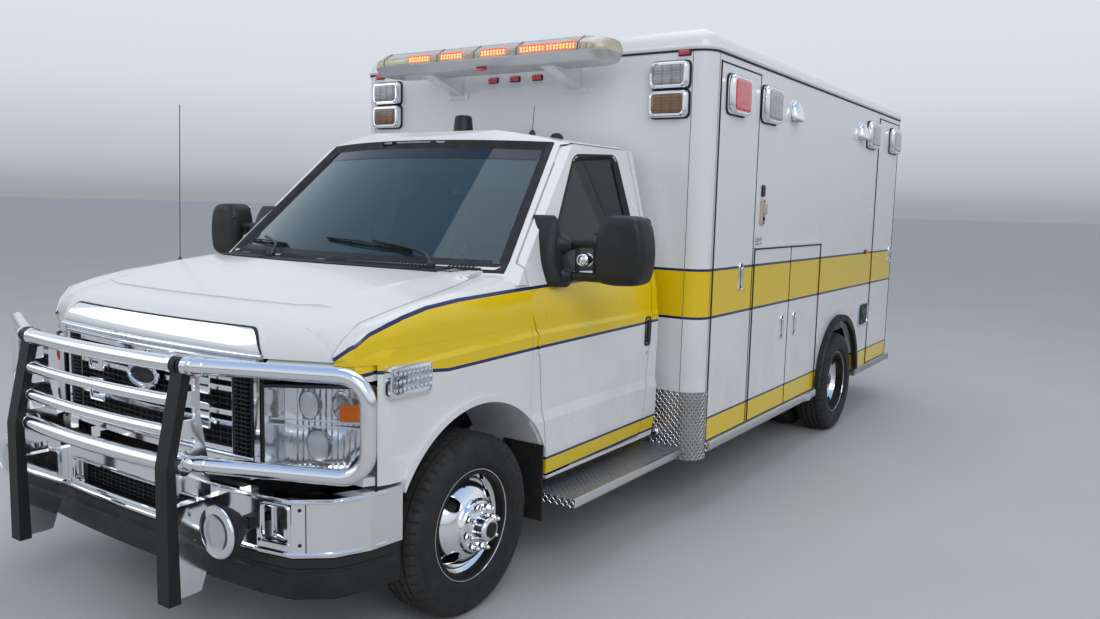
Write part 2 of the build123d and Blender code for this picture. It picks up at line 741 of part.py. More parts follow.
def make_frame_rails():
    y0 = -700
    y1 = rail_end_y
    frame = None
    for sign in (-1, 1):
        x_out = sign * rail_outer_x
        x_in = sign * (rail_outer_x - rail_flange)
        rail = block(x_in, x_out, y0, y1, rail_bottom, rail_top)
        rail -= block(x_in - sign, x_out - sign * rail_wall, y0 - 1, y1 + 1, rail_bottom + rail_wall,
                      rail_top - rail_wall)
        frame = rail if frame is None else frame + rail
    inner = rail_outer_x - rail_wall
    for y in cross_members:
        frame += block(-inner, inner, y - 35, y + 35, rail_bottom + 40, rail_top - rail_wall)
    frame -= tube_between(shaft_front, shaft_back, shaft_radius + 10)
    frame += block(-inner, inner, y1 - rail_wall, y1, rail_bottom, rail_top)
    for x in (-hitch_spacing_x / 2, hitch_spacing_x / 2):
        for z in (-hitch_spacing_z / 2, hitch_spacing_z / 2):
            hole_plane = Plane(origin=(x, y1 + 1, hitch_z + z), z_dir=(0, -1, 0))
            frame -= extrude(hole_plane * Circle(hitch_hole_radius), amount=rail_wall + 2)
    for y in cab_mounts:
        for sign in (-1, 1):
            frame += block(sign * (rail_outer_x - 60), sign * (rail_outer_x - 4), y - 40, y + 40, rail_top,
                           rail_top + body_mount_height)
    for y in module_mounts:
        for sign in (-1, 1):
            frame += block(sign * (rail_outer_x - 60), sign * (rail_outer_x - 4), y - 40, y + 40, rail_top,
                           module_floor_z - module_floor_thickness)
    return frame.solids()


rail_end_y = module_back_y - module_wall - 10
cross_members = (-640, -360, 1180, 1900, 2700, 3560, 4480)
shaft_radius = 45
shaft_front = (0, 950, 540)
shaft_back = (0, rear_axle_y - 312, tyre_radius + 10)
cab_mounts = (430, 1380)
module_mounts = (1750, 2700, 3500, 4560, 5450)
hitch_spacing_x = 300
hitch_spacing_z = 90
hitch_z = rail_bottom + rail_height / 2
hitch_hole_radius = 8.5

kingpin_radius = 16
knuckle_low_z = 290
knuckle_high_z = 434
spring_radius = 62


def make_axles():
    """Twin front beams with their coil springs, and the live rear axle with its leaf springs."""
    beams = None
    for y, x_far in ((-48, 1), (48, -1)):
        profile = face_of([(-x_far * 420, 330), (-x_far * 420, 380), (x_far * 300, 352), (x_far * 640, 388),
                           (x_far * 700, 420), (x_far * 760, 420), (x_far * 760, 300), (x_far * 700, 300),
                           (x_far * 640, 330), (x_far * 300, 292)])
        beam = along_y(profile, y - 26, y + 26)
        beams = beam if beams is None else beams + beam
    pieces = list(beams.solids())
    for sign in (-1, 1):
        for z0, z1 in ((knuckle_low_z - 30, knuckle_low_z), (knuckle_high_z, knuckle_high_z + 30)):
            pieces.append(block(sign * 690, sign * (kingpin_x + 26), -36, 36, z0, z1))
        pieces.append(block(sign * 690, sign * 740, -74, 74, knuckle_low_z - 30, knuckle_high_z + 30))
        pin_length = knuckle_high_z - knuckle_low_z + 60
        pieces.append(Pos(sign * kingpin_x, 0, knuckle_low_z - 30) * standing_rod(kingpin_radius, pin_length))
    front = pieces[0]
    for piece in pieces[1:]:
        front += piece
    for sign in (-1, 1):
        front += Pos(sign * 560, 0, 380) * standing_rod(spring_radius, 290)
        front += block(sign * rail_outer_x, sign * 620, -70, 70, 640, 672)
        front += block(sign * (rail_outer_x - 60), sign * 470, -40, 40, 330, 372)
    tube = wheel_cylinder(52, -1000, 1000, rear_axle_y, tyre_radius)
    ball = Pos(0, rear_axle_y, tyre_radius) * Sphere(170)
    nose = extrude(Plane(origin=(0, rear_axle_y, tyre_radius), z_dir=(0, -1, 0)) * Circle(70), amount=300)
    spindle_end = rear_wheel_x + dual_offset + rear_dish + 36
    spindles = wheel_cylinder(spindle_radius, -spindle_end, spindle_end, rear_axle_y, tyre_radius)
    rear = tube + ball + nose
    rear = rear & block(-735, 735, 0, 5000, 0, 900)
    rear += spindles
    for sign in (-1, 1):
        x0 = sign * (rail_outer_x + 40)
        x1 = sign * (rail_outer_x + 115)
        leaf = ThreePointArc((rear_axle_y - 640, 520), (rear_axle_y, 430), (rear_axle_y + 700, 540))
        upper = ThreePointArc((rear_axle_y + 700, 560), (rear_axle_y, 470), (rear_axle_y - 640, 540))
        edge = make_face([leaf, Line(leaf @ 1, upper @ 0), upper, Line(upper @ 1, leaf @ 0)])
        rear += along_x(edge, min(x0, x1), max(x0, x1))
        rear += block(x0, x1, rear_axle_y - 70, rear_axle_y + 70, tyre_radius, 460)
        for y, z in ((rear_axle_y - 640, 530), (rear_axle_y + 700, 550)):
            rear += wheel_cylinder(26, min(sign * rail_outer_x, x1), max(sign * rail_outer_x, x1), y, z)
    return front.solids() + rear.solids()


def make_knuckle(side):
    """Steering knuckle: upright with its kingpin, the spindle and the brake calliper."""
    upright = block(kingpin_x - 28, kingpin_x + 24, -46, 46, knuckle_low_z + axle_clearance,
                    knuckle_high_z - axle_clearance)
    pin_height = knuckle_high_z - knuckle_low_z + 2
    pin_bore = standing_rod(kingpin_radius + axle_clearance, pin_height)
    upright -= Pos(kingpin_x, 0, knuckle_low_z - 1) * pin_bore
    spindle_end = front_wheel_x + front_dish + 36
    spindle = wheel_cylinder(spindle_radius, kingpin_x + 20, spindle_end, 0, tyre_radius)
    calliper = block(kingpin_x - 10, kingpin_x + 30, 44, 120, 320, 410)
    body = upright + spindle + calliper
    return [body if side > 0 else mirrored(body)]


def make_powertrain():
    engine = block(-290, 290, -300, 330, 430, 1010) - block(-200, 200, -301, 331, 960, 1011)
    engine -= block(-300, 300, -150, 150, 400, 475)
    gearbox = extrude(Plane(origin=(0, 330, 560), z_dir=(0, 1, 0)) * Circle(150), amount=620)
    shaft = tube_between(shaft_front, shaft_back, shaft_radius)
    pieces = engine + gearbox
    return [(pieces + shaft).solids().sort_by(SortBy.VOLUME)[-1]]


def make_tank_and_exhaust():
    tank = block(-350, 350, rear_axle_y + 560, rear_axle_y + 1180, 400, 640)
    tank = fillet(tank.edges(), 30)
    pipe_z = 420
    route = FilletPolyline((-330, 160, pipe_z), (-330, 900, pipe_z), (-620, 1250, pipe_z),
                           (-620, 2900, pipe_z), radius=200)
    pipe = sweep(Plane(origin=route @ 0, z_dir=route % 0) * Circle(38), path=route)
    muffler = extrude(Plane(origin=(-620, 1640, pipe_z), z_dir=(0, 1, 0)) * Ellipse(120, 85), amount=600)
    inner = rail_outer_x - rail_flange
    for y in (rear_axle_y + 680, rear_axle_y + 1060):
        tank += block(-inner, inner, y - 25, y + 25, 630, 646)
    downpipe = block(-352, -290, 168, 218, 425, 470)
    return (tank.solids() + (pipe + muffler + downpipe).solids())


# Running boards, corner guards and rear step, all of tread plate

step_outer_x = 1150
step_front_y = 470
step_top_z = 372
step_depth = 36
guard_sheet = 5
# Rub rails under the module's doors: y from, y to
rub_rails = [(1675, 3511), (4515, 5598)]
rub_rail_outer_x = module_half_width + 15
rub_rail_low_z = 330
rail_gap = 6
guard_corner_top_z = 662
guard_corner_low_z = 298
bumper_back_y = wheelbase + rear_overhang


def make_treadplate():
    pieces = []
    for sign in (-1, 1):
        board = block(sign * 900, sign * step_outer_x, step_front_y, module_front_y - guard_sheet - 2,
                      step_top_z - step_depth, step_top_z)
        board = fillet(board.edges().filter_by(Axis.Y), 8)
        rail_x = sign * rail_outer_x
        for y in (620, 1300):
            board += block(rail_x, sign * 1000, y - 25, y + 25, step_top_z - 30, step_top_z - 8)
            board += block(rail_x, rail_x + sign * 40, y - 25, y + 25, step_top_z - 30, 560)
        pieces.append(board)
        outer = module_plan(guard_sheet)
        inner = module_plan(0)
        guard = along_z(outer, guard_corner_low_z, guard_corner_top_z) - along_z(inner, 0, 3000)
        guard &= block(sign * 940, sign * 1300, 1500, left_front_door[0] - 4, 0, 3000)
        pieces.append(guard)
        for y0, y1 in rub_rails:
            rail = block(sign * (module_half_width - module_wall), sign * rub_rail_outer_x, y0, y1,
                         rub_rail_low_z, module_skirt_z)
            long_edges = rail.edges().filter_by(Axis.Y).sort_by(Axis.X)
            pieces.append(fillet(long_edges[-2:] if sign > 0 else long_edges[:2], 8))
    step = block(-1100, 1100, module_back_y + 4, bumper_back_y, 420, 470)
    step = fillet(step.edges().filter_by(Axis.Z), 40)
    for sign in (-1, 1):
        step += block(sign * 300, sign * 380, rail_end_y, module_back_y + 60, 490, 620)
        step += block(sign * 300, sign * 380, module_back_y + 20, module_back_y + 60, 440, 620)
    pieces.append(step)
    return whole(pieces).solids()


# Patient module

def module_plan(offset_by):
    """Plan of the module's walls, grown by offset_by."""
    half = module_half_width + offset_by
    low = module_front_y - offset_by
    high = module_back_y + offset_by
    face = face_of([(-half, low), (half, low), (half, high), (-half, high)])
    return fillet(face.vertices(), module_corner_radius + offset_by)


def module_body():
    body = along_z(module_plan(0), module_skirt_z, module_roof_z)
    return fillet(body.faces().sort_by(Axis.Z)[-1].edges(), module_roof_radius)


module_outer = module_body()
module_inner_x = module_half_width - module_wall
module_inner_box = block(-module_inner_x, module_inner_x, module_front_y + module_wall,
                         module_back_y - module_wall, 0, module_roof_z - module_wall)
module_inner_box = fillet(module_inner_box.edges().filter_by(Axis.Z), module_corner_radius - module_wall)
module_skin = module_outer - module_inner_box
corner_x = module_half_width - module_corner_radius


left_doors = {"left_front_door": left_front_door, "left_low_door_front": left_low_front,
              "left_low_door_rear": left_low_rear, "left_rear_door": left_rear_door}
right_doors = {"right_entry_door": right_entry_door, "right_rear_door": right_rear_door}
entry_window = (2040, 2450, 1450, 2060)


def make_side_walls():
    walls = []
    for sign, doors in ((1, left_doors), (-1, right_doors)):
        wall = module_skin & block(sign * corner_x, sign * (module_half_width + 1), module_front_y - 1,
                                   module_back_y + 1, module_skirt_z - 1, roof_seam_z)
        for y0, y1, top in doors.values():
            wall -= block(sign * 1000, sign * 1300, y0 - door_gap / 2, y1 + door_gap / 2,
                          module_skirt_z - 5, top + door_gap / 2)
        wall -= wheel_cylinder(rear_arch_radius, -1300, 1300, rear_axle_y, tyre_radius)
        if sign > 0:
            wall += block(module_half_width - 5, rub_rail_outer_x, left_low_front[0] - 14,
                          left_low_rear[1] + 10, low_door_top_z + 10, low_door_top_z + 25)
        walls.append(wall.solids().sort_by(SortBy.VOLUME)[-1])
        walls.extend(wall.solids().sort_by(SortBy.VOLUME)[:-1])
    return walls


def make_end_walls():
    inner_y = module_front_y + module_wall
    front = module_skin & block(-corner_x, corner_x, module_front_y - 1, inner_y, 0, roof_seam_z)
    front -= block(-380, 380, module_front_y - 2, inner_y + 2, module_floor_z, 1700)
    front -= block(-700, 700, module_front_y - 2, inner_y + 2, 0, module_floor_z - 80)
    back = module_skin & block(-corner_x, corner_x, module_back_y - module_wall, module_back_y + 1,
                               0, roof_seam_z)
    back -= block(-rear_door_half_width, rear_door_half_width, module_back_y - 100, module_back_y + 10,
                  rear_door_bottom_z, rear_door_top_z)
    back -= block(-rail_outer_x - 20, rail_outer_x + 20, module_back_y - 100, module_back_y + 10,
                  0, rear_door_bottom_z - 55)
    return front.solids() + back.solids()


def make_roof():
    roof = module_skin & block(-1300, 1300, 1500, 5700, roof_seam_z, module_roof_z + 1)
    trim = along_z(module_plan(7), roof_seam_z, roof_seam_z + 22) - along_z(module_plan(-1), 0, 3000)
    return [(roof + trim).solids().sort_by(SortBy.VOLUME)[-1]]


def make_module_floor():
    half = module_half_width - module_wall
    floor = block(-half, half, module_front_y + module_wall, module_back_y - module_wall,
                  module_floor_z - module_floor_thickness, module_floor_z)
    return [fillet(floor.edges().filter_by(Axis.Z), module_corner_radius - module_wall)]


def make_side_door(sign, door, hinge_at_front=True, window=None, lamp=None):
    y0, y1, top = door
    z0 = module_skirt_z + rail_gap
    z1 = top - door_gap / 2
    leaf = module_outer & block(sign * (module_half_width - door_thickness), sign * (module_half_width + 1),
                                y0 + door_gap / 2, y1 - door_gap / 2, z0, z1)
    if window:
        leaf -= block(sign * 1000, sign * 1300, window[0], window[1], window[2], window[3])
    if lamp:
        leaf += side_lamp(sign, *lamp)
    hinge_y = y0 if hinge_at_front else y1
    inward = 1 if hinge_at_front else -1
    face_x = sign * module_half_width
    leaf += hinge_barrel(face_x, hinge_y, z0, z1)
    leaf += block(face_x - sign * 3, face_x, hinge_y, hinge_y + inward * 8, z0, z1)
    return leaf.solids()


def make_rear_door(side):
    z0 = rear_door_bottom_z + door_gap
    z1 = rear_door_top_z - door_gap
    leaf = block(side * door_gap / 2, side * (rear_door_half_width - door_gap),
                 module_back_y - door_thickness, module_back_y, z0, z1)
    leaf -= block(side * 180, side * 540, module_back_y - 100, module_back_y + 10, 1480, 2080)
    hinge_x = rear_door_half_width - door_gap / 2
    leaf += hinge_barrel(side * hinge_x, module_back_y, z0, z1)
    leaf += block(side * (hinge_x - 8), side * hinge_x, module_back_y - 3, module_back_y, z0, z1)
    return leaf.solids()


# Arch flares, mud flaps, lamps and the light bar

def make_flares_and_flaps():
    pieces = []
    for sign in (-1, 1):
        x0, x1 = sorted((sign * (module_half_width + 0.3), sign * (module_half_width + flare_projection)))
        outer = wheel_cylinder(rear_arch_radius + flare_width / 2, x0, x1, rear_axle_y, tyre_radius)
        inner = wheel_cylinder(rear_arch_radius - flare_width / 2, -1300, 1300, rear_axle_y, tyre_radius)
        pieces.append((outer - inner) & block(-1300, 1300, 3000, 5000, module_skirt_z + 6, 2000))
        for y, x_low, x_high, low, top in mud_flaps:
            pieces.append(block(sign * x_low, sign * x_high, y, y + 8, low, top))
    return pieces


front_flap_y = 424
front_flap_top = tyre_radius + (front_arch_radius ** 2 - (front_flap_y + 8) ** 2) ** 0.5 - 0.3
mud_flaps = [(front_flap_y, 800, 1010, 262, front_flap_top),
             (rear_axle_y + 440, 770, 1150, 190, module_floor_z - module_floor_thickness)]


# Lamps on the front wall as (x centre, z centre, width, height); those off the centre line are mirrored
front_lamps = [(986, 2291, 205, 125), (986, 2147, 205, 125), (1059, 2400, 70, 24), (155, 2327, 60, 24),
               (0, 2327, 60, 24)]
# Lamps on each side wall as (y centre, z centre, width, height)
side_lamps = [(2375, 2216, 250, 190), (4614, 2218, 250, 190)]
door_lamps = [(1882, 2216, 250, 190), (5305, 2220, 250, 190)]
lamp_depth = 40
# Wedge-shaped floodlights on each side wall: y from, y to, and their section as (x, z)
floodlights = [(2733, 2873), (4244, 4384)]
floodlight_face = [(module_half_width, 2278), (module_half_width, 2162), (module_half_width + 62, 2172),
                   (module_half_width + 36, 2250)]
fender_lamp = (960, 1024, -504, -285, 944, 1068)


def side_lamp(sign, y, z, width, height):
    lamp = block(sign * module_half_width, sign * (module_half_width + lamp_depth), y - width / 2,
                 y + width / 2, z - height / 2, z + height / 2)
    return fillet(lamp.edges().filter_by(Axis.X), height * 0.18)


def make_warning_lamps():
    pieces = []
    for x, z, width, height in front_lamps:
        for sign in ((-1, 1) if x else (1,)):
            lamp = block(sign * x - width / 2, sign * x + width / 2, module_front_y - lamp_depth,
                         module_front_y, z - height / 2, z + height / 2)
            pieces.append(fillet(lamp.edges().filter_by(Axis.Y), min(height, width) * 0.18))
            if height > 60:
                rear_lamp = block(sign * x - width / 2, sign * x + width / 2, module_back_y,
                                  module_back_y + lamp_depth, z - height / 2, z + height / 2)
                pieces.append(fillet(rear_lamp.edges().filter_by(Axis.Y), height * 0.18))
    for row in side_lamps:
        pieces.extend([side_lamp(1, *row), side_lamp(-1, *row)])
    for row in door_lamps:
        pieces.append(side_lamp(-1, *row))
    for y0, y1 in floodlights:
        pieces.extend(both_sides(along_y(face_of(floodlight_face), y0, y1)))
    fender_block = fillet(block(*fender_lamp).edges().filter_by(Axis.X), 16) - clip_outer
    pieces.extend(both_sides(fender_block.solids().sort_by(SortBy.VOLUME)[-1]))
    return pieces


bar_half_length = 790
bar_centre = (1318, 2405)
bar_depth = 300
bar_height = 140
bar_base_height = 62
bar_slope = 66
bar_taper = 130
bracket_x = 412


def make_light_bar():
    """Thin bar with tapered ends on two triangular brackets."""
    y, z = bar_centre
    low, high = z - bar_height / 2, z + bar_height / 2
    half = bar_depth / 2
    shoulder_y = half - bar_slope
    section = face_of([(y - half + 50, low), (y + half - 50, low), (y + half, low + bar_base_height),
                       (y + shoulder_y, high - 12), (y, high), (y - shoulder_y, high - 12),
                       (y - half, low + bar_base_height)])
    corner = bar_half_length - bar_taper
    plan = rounded_face([(-bar_half_length, y - 70), (-corner, y - half), (corner, y - half),
                         (bar_half_length, y - 70), (bar_half_length, y + 70), (corner, y + half),
                         (-corner, y + half), (-bar_half_length, y + 70)], 40)
    bar = along_x(section, -bar_half_length, bar_half_length) & along_z(plan, low, high)
    side = face_of([(module_front_y, 2250), (module_front_y, 2396), (y + 90, low + 40), (y - 60, low + 30),
                    (y - 60, low - 14)])
    for sign in (-1, 1):
        bar += along_x(side, sign * bracket_x - 42, sign * bracket_x + 42)
    return bar.solids()


# Interiors

def make_cab_interior():
    pieces = []
    for sign in (-1, 1):
        x = sign * 430
        cushion = fillet(block(x - 250, x + 250, 720, 1200, 900, 1030).edges(), 40)
        back = Box(490, 120, 680, align=(Align.CENTER, Align.CENTER, Align.MIN))
        back = Pos(x, 1192, 1000) * Rot(-14, 0, 0) * back
        back = fillet(back.edges(), 35)
        head = Pos(x, 1330, 1690) * Box(260, 90, 150)
        base = block(x - 200, x + 200, 760, 1160, 760, 910)
        pieces.append(cushion + back + fillet(head.edges(), 25) + base)
    dash_face = face_of([(380, 860), (380, 1235), (500, 1262), (600, 1210), (640, 1100), (600, 900)])
    dash = along_x(dash_face, -870, 870)
    wheel = Pos(400, 700, 1180) * Rot(-62, 0, 0) * Torus(185, 15)
    spokes = Pos(400, 700, 1180) * Rot(-62, 0, 0) * Box(350, 40, 14)
    column = tube_between((400, 560, 1105), (400, 705, 1182), 34)
    dash = dash + column + wheel + spokes
    pieces.append(dash)
    return whole(pieces).solids()


cabinet_depth = 430
bench_top_z = 1210


def make_module_interior():
    """Cabinet wall on the left, squad bench on the right."""
    half = module_half_width - module_wall - 2
    z0 = module_floor_z
    y0 = module_front_y + module_wall + 60
    cabinet = block(half - cabinet_depth, half, y0, module_back_y - 500, z0, 2440)
    cabinet -= block(half - cabinet_depth - 1, half - 60, 2500, 4200, 1500, 2200)
    cabinet -= block(half - cabinet_depth - 1, half - 60, 2500, 4200, 900, 1400)
    bench = block(-half, 520 - half, 2760, module_back_y - 500, z0, bench_top_z)
    return [cabinet, bench]


# Bodies: node name to function, in the order of the files

def side_name(sign):
    return "left" if sign > 0 else "right"


nodes = {
    "frame_rails": make_frame_rails(),
    "axles": make_axles(),
    "powertrain": make_powertrain(),
    "tank_and_exhaust": make_tank_and_exhaust(),
    "cab_shell": make_cab_shell(),
    "front_fenders": make_front_fenders(),
    "windscreen": make_windscreen(),
    "cab_interior": make_cab_interior(),
    "grille": make_grille(),
    "headlamps": make_headlamps(),
    "grille_guard": make_grille_guard(),
    "front_bumper": make_front_bumper(),
    "lamp_pods": make_lamp_pods(),
    "treadplate": make_treadplate(),
    "side_walls": make_side_walls(),
    "end_walls": make_end_walls(),
    "module_roof": make_roof(),
    "module_floor": make_module_floor(),
    "module_interior": make_module_interior(),
    "flares_and_flaps": make_flares_and_flaps(),
    "warning_lamps": make_warning_lamps(),
    "light_bar": make_light_bar(),
    "hood": make_hood(),
}
for door_sign in (1, -1):
    name = side_name(door_sign)
    nodes["cab_door_" + name] = make_cab_door(door_sign)
    nodes["cab_glass_" + name] = make_door_glass(door_sign)
    nodes["mirror_" + name] = make_mirror(door_sign)
    nodes["knuckle_" + name] = make_knuckle(door_sign)
    front_rim, front_tyre = make_front_wheel(door_sign)
    nodes["rim_front_" + name] = [front_rim]
    nodes["tyre_front_" + name] = [front_tyre]
    rear_rims, rear_tyres = make_rear_wheel(door_sign)
    nodes["rims_rear_" + name] = rear_rims
    nodes["tyres_rear_" + name] = rear_tyres
    nodes["rear_door_" + name] = make_rear_door(door_sign)
for door_name, door_size in left_doors.items():
    at_front = door_name != "left_low_door_rear"
    lamp = {"left_front_door": door_lamps[0], "left_rear_door": door_lamps[1]}.get(door_name)
    nodes[door_name] = make_side_door(1, door_size, at_front, lamp=lamp)
nodes["right_entry_door"] = make_side_door(-1, right_entry_door, window=entry_window)
nodes["right_rear_door"] = make_side_door(-1, right_rear_door)

os.makedirs("parts", exist_ok=True)
for node_name, shapes in nodes.items():
    solids = whole(shapes)
    export_step(Pos(0, front_axle_y, 0) * solids, "parts/" + node_name + ".step")
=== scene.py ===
import bpy
import bmesh
import math
from mathutils import Matrix, Vector
from mathutils.bvhtree import BVHTree


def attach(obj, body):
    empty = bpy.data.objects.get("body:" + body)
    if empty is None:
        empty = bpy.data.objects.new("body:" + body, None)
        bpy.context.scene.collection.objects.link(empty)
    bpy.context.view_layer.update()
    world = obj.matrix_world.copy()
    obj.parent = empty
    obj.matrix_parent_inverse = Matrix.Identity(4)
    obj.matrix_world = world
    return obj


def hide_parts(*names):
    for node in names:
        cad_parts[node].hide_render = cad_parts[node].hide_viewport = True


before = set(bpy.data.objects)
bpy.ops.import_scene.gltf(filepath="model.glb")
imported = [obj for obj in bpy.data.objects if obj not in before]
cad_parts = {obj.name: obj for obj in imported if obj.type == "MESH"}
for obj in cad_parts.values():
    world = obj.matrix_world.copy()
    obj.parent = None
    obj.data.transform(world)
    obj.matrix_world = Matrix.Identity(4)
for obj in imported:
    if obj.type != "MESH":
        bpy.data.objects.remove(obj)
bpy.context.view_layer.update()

# Metres, measured from the front axle, which stands at y = FRONT in the shared frame; +x is the left side.
FRONT = -2.4115


def add_object(name, data):
    made = bpy.data.objects.new(name, data)
    bpy.context.scene.collection.objects.link(made)
    return made


# ---------------------------------------------------------------- shader nodes

class Nodes:
    """Short ways to add shader nodes to a tree."""

    def __init__(self, tree):
        self.tree = tree
        self.axes = None

    def node(self, kind, **settings):
        made = self.tree.nodes.new("ShaderNode" + kind)
        for key, value in settings.items():
            setattr(made, key, value)
        return made

    def feed(self, value, socket):
        if isinstance(value, bpy.types.NodeSocket):
            self.tree.links.new(value, socket)
        else:
            socket.default_value = value

    def place(self):
        """x, y and z of the shared frame."""
        if not self.axes:
            self.point = self.node("TexCoord").outputs["Object"]
            split = self.node("SeparateXYZ")
            self.feed(self.point, split.inputs[0])
            self.axes = dict(zip("xyz", split.outputs))
        return self.axes

    def maths(self, operation, a, b=0.0):
        made = self.node("Math", operation=operation)
        self.feed(a, made.inputs[0])
        self.feed(b, made.inputs[1])
        return made.outputs[0]

    def plus(self, a, b):
        return self.maths("ADD", a, b)

    def minus(self, a, b):
        return self.maths("SUBTRACT", a, b)

    def size(self, a):
        return self.maths("ABSOLUTE", a)

    def more(self, a, b):
        return self.maths("GREATER_THAN", a, b)

    def less(self, a, b):
        return self.maths("LESS_THAN", a, b)

    def both(self, a, b):
        return self.maths("MULTIPLY", a, b)

    def either(self, a, b):
        return self.maths("MAXIMUM", a, b)

    def within(self, value, low, high):
        return self.both(self.more(value, low), self.less(value, high))

    def mix(self, factor, a, b):
        made = self.node("Mix", data_type="RGBA")
        self.feed(factor, made.inputs["Factor"])
        for value, socket in ((a, made.inputs[6]), (b, made.inputs[7])):
            self.feed(value if isinstance(value, bpy.types.NodeSocket) else (*value, 1), socket)
        return made.outputs[2]

    def blend(self, factor, a, b):
        made = self.node("Mix", data_type="FLOAT")
        for value, socket in ((factor, made.inputs["Factor"]), (a, made.inputs[2]), (b, made.inputs[3])):
            self.feed(value, socket)
        return made.outputs[0]

    def noise(self, scale, detail=4.0, stretch=(1, 1, 1)):
        self.place()
        mapping = self.node("Mapping")
        self.feed(self.point, mapping.inputs["Vector"])
        mapping.inputs["Scale"].default_value = stretch
        made = self.node("TexNoise")
        self.feed(mapping.outputs[0], made.inputs["Vector"])
        for key, number in (("Scale", scale), ("Detail", detail), ("Roughness", 0.55)):
            made.inputs[key].default_value = number
        return made.outputs[0]

    def ramp(self, value, low, high, out_low=0.0, out_high=1.0):
        made = self.node("MapRange")
        self.feed(value, made.inputs["Value"])
        for key, number in (("From Min", low), ("From Max", high), ("To Min", out_low), ("To Max", out_high)):
            made.inputs[key].default_value = number
        return made.outputs[0]

    def line(self, value, points, low, high):
        """Height of a line through points (value, height); heights lie between low and high."""
        start, end = points[0][0], points[-1][0]
        curve = self.node("FloatCurve")
        self.feed(self.ramp(value, start, end), curve.inputs["Value"])
        track = curve.mapping.curves[0]
        spots = [((v - start) / (end - start), (h - low) / (high - low)) for v, h in points]
        track.points[0].location = spots[0]
        track.points[1].location = spots[-1]
        for spot in spots[1:-1]:
            track.points.new(*spot)
        for point in track.points:
            point.handle_type = "VECTOR"
        curve.mapping.update()
        return self.ramp(curve.outputs[0], 0.0, 1.0, low, high)


mats = {}


class Shader(Nodes):
    """A Principled material, kept in mats under its name."""

    def __init__(self, name, colour, roughness, metallic=0.0, **sockets):
        material = mats[name] = bpy.data.materials.new(name)
        material.use_nodes = True
        super().__init__(material.node_tree)
        self.sockets = self.tree.nodes["Principled BSDF"].inputs
        self.set(Base_Color=(*colour, 1), Roughness=roughness, Metallic=metallic, **sockets)

    def set(self, **sockets):
        for name, value in sockets.items():
            self.feed(value, self.sockets[name.replace("_", " ")])

    def rough(self, scale, low, high):
        """Roughness that wanders between low and high."""
        self.set(Roughness=self.ramp(self.noise(scale, 5.0), 0.3, 0.7, low, high))

    def bump(self, height, strength, distance):
        made = self.node("Bump")
        for value, key in ((strength, "Strength"), (distance, "Distance"), (height, "Height")):
            self.feed(value, made.inputs[key])
        self.set(Normal=made.outputs[0])


# ---------------------------------------------------------------- camera and light

SENSOR = 36
FOCAL_PIXELS = 895.6
PHOTO_WIDTH = 1100
CAMERA = (3.099, -2.672 + FRONT, 1.62)
YAW, PITCH, ROLL = 33.75, 6.66, 1.42
SKY = ((0.0, (0.34, 0.36, 0.39)), (0.004, (0.34, 0.36, 0.39)), (0.035, (0.47, 0.51, 0.56)),
       (0.12, (0.68, 0.72, 0.78)), (0.3, (0.76, 0.81, 0.88)), (0.55, (0.55, 0.68, 0.88)),
       (1.0, (0.3, 0.47, 0.8)))
SOFT_LIGHT, SOFT_STRENGTH = (0.8, 0.84, 0.9, 1), 0.64


def make_camera():
    data = bpy.data.cameras.new("camera")
    data.sensor_width = SENSOR
    data.lens = SENSOR * FOCAL_PIXELS / PHOTO_WIDTH
    data.clip_end = 300
    place = Matrix.Translation(CAMERA)
    for degrees, axis in ((YAW, "Z"), (90 - PITCH, "X"), (ROLL, "Z")):
        place = place @ Matrix.Rotation(math.radians(degrees), 4, axis)
    camera = add_object("camera", data)
    camera.matrix_world = place
    bpy.context.scene.camera = camera


def make_light(name, place, size, power, colour):
    """Area light that shines on a point a metre above the frame's origin."""
    data = bpy.data.lights.new(name, "AREA")
    data.shape = "RECTANGLE"
    data.size, data.size_y = size
    data.energy = power
    data.color = colour
    turn = (Vector((0, 0, 1)) - Vector(place)).to_track_quat("-Z", "Y")
    add_object(name, data).matrix_world = Matrix.Translation(place) @ turn.to_matrix().to_4x4()


def make_world():
    """The eye, reflections and glass see a sky; everything else gets an even soft light."""
    world = bpy.context.scene.world = bpy.data.worlds.new("world")
    world.use_nodes = True
    world.node_tree.nodes.clear()
    sky = Nodes(world.node_tree)
    split = sky.node("SeparateXYZ")
    sky.feed(sky.node("TexCoord").outputs["Generated"], split.inputs[0])
    ramp = sky.node("ValToRGB")
    sky.feed(split.outputs["Z"], ramp.inputs[0])
    stops = ramp.color_ramp.elements
    for position, colour in SKY:
        stop = stops[0] if position == 0 else stops[-1] if position == 1 else stops.new(position)
        stop.color = (*colour, 1)
    lights = []
    for colour, strength in ((SOFT_LIGHT, SOFT_STRENGTH), (ramp.outputs[0], 1.0)):
        light = sky.node("Background")
        sky.feed(colour, light.inputs["Color"])
        sky.feed(strength, light.inputs["Strength"])
        lights.append(light)
    path = sky.node("LightPath").outputs
    shown = sky.either(sky.either(path["Is Camera Ray"], path["Is Glossy Ray"]), path["Is Transmission Ray"])
    mix = sky.node("MixShader")
    for value, socket in zip((shown, lights[0].outputs[0], lights[1].outputs[0]), mix.inputs):
        sky.feed(value, socket)
    sky.feed(mix.outputs[0], sky.node("OutputWorld").inputs[0])


# ---------------------------------------------------------------- materials

def srgb(red, green, blue):
    def channel(value):
        value /= 255
        return value / 12.92 if value <= 0.04045 else ((value + 0.055) / 1.055) ** 2.4
    return channel(red), channel(green), channel(blue)


WHITE = srgb(232, 234, 236)
YELLOW = srgb(237, 204, 8)
NAVY = srgb(22, 34, 92)
GRIME = srgb(150, 144, 132)
CHROME = (0.86, 0.87, 0.88)
AXLE_HEIGHT = 0.362
WHEELBASE = 4.013

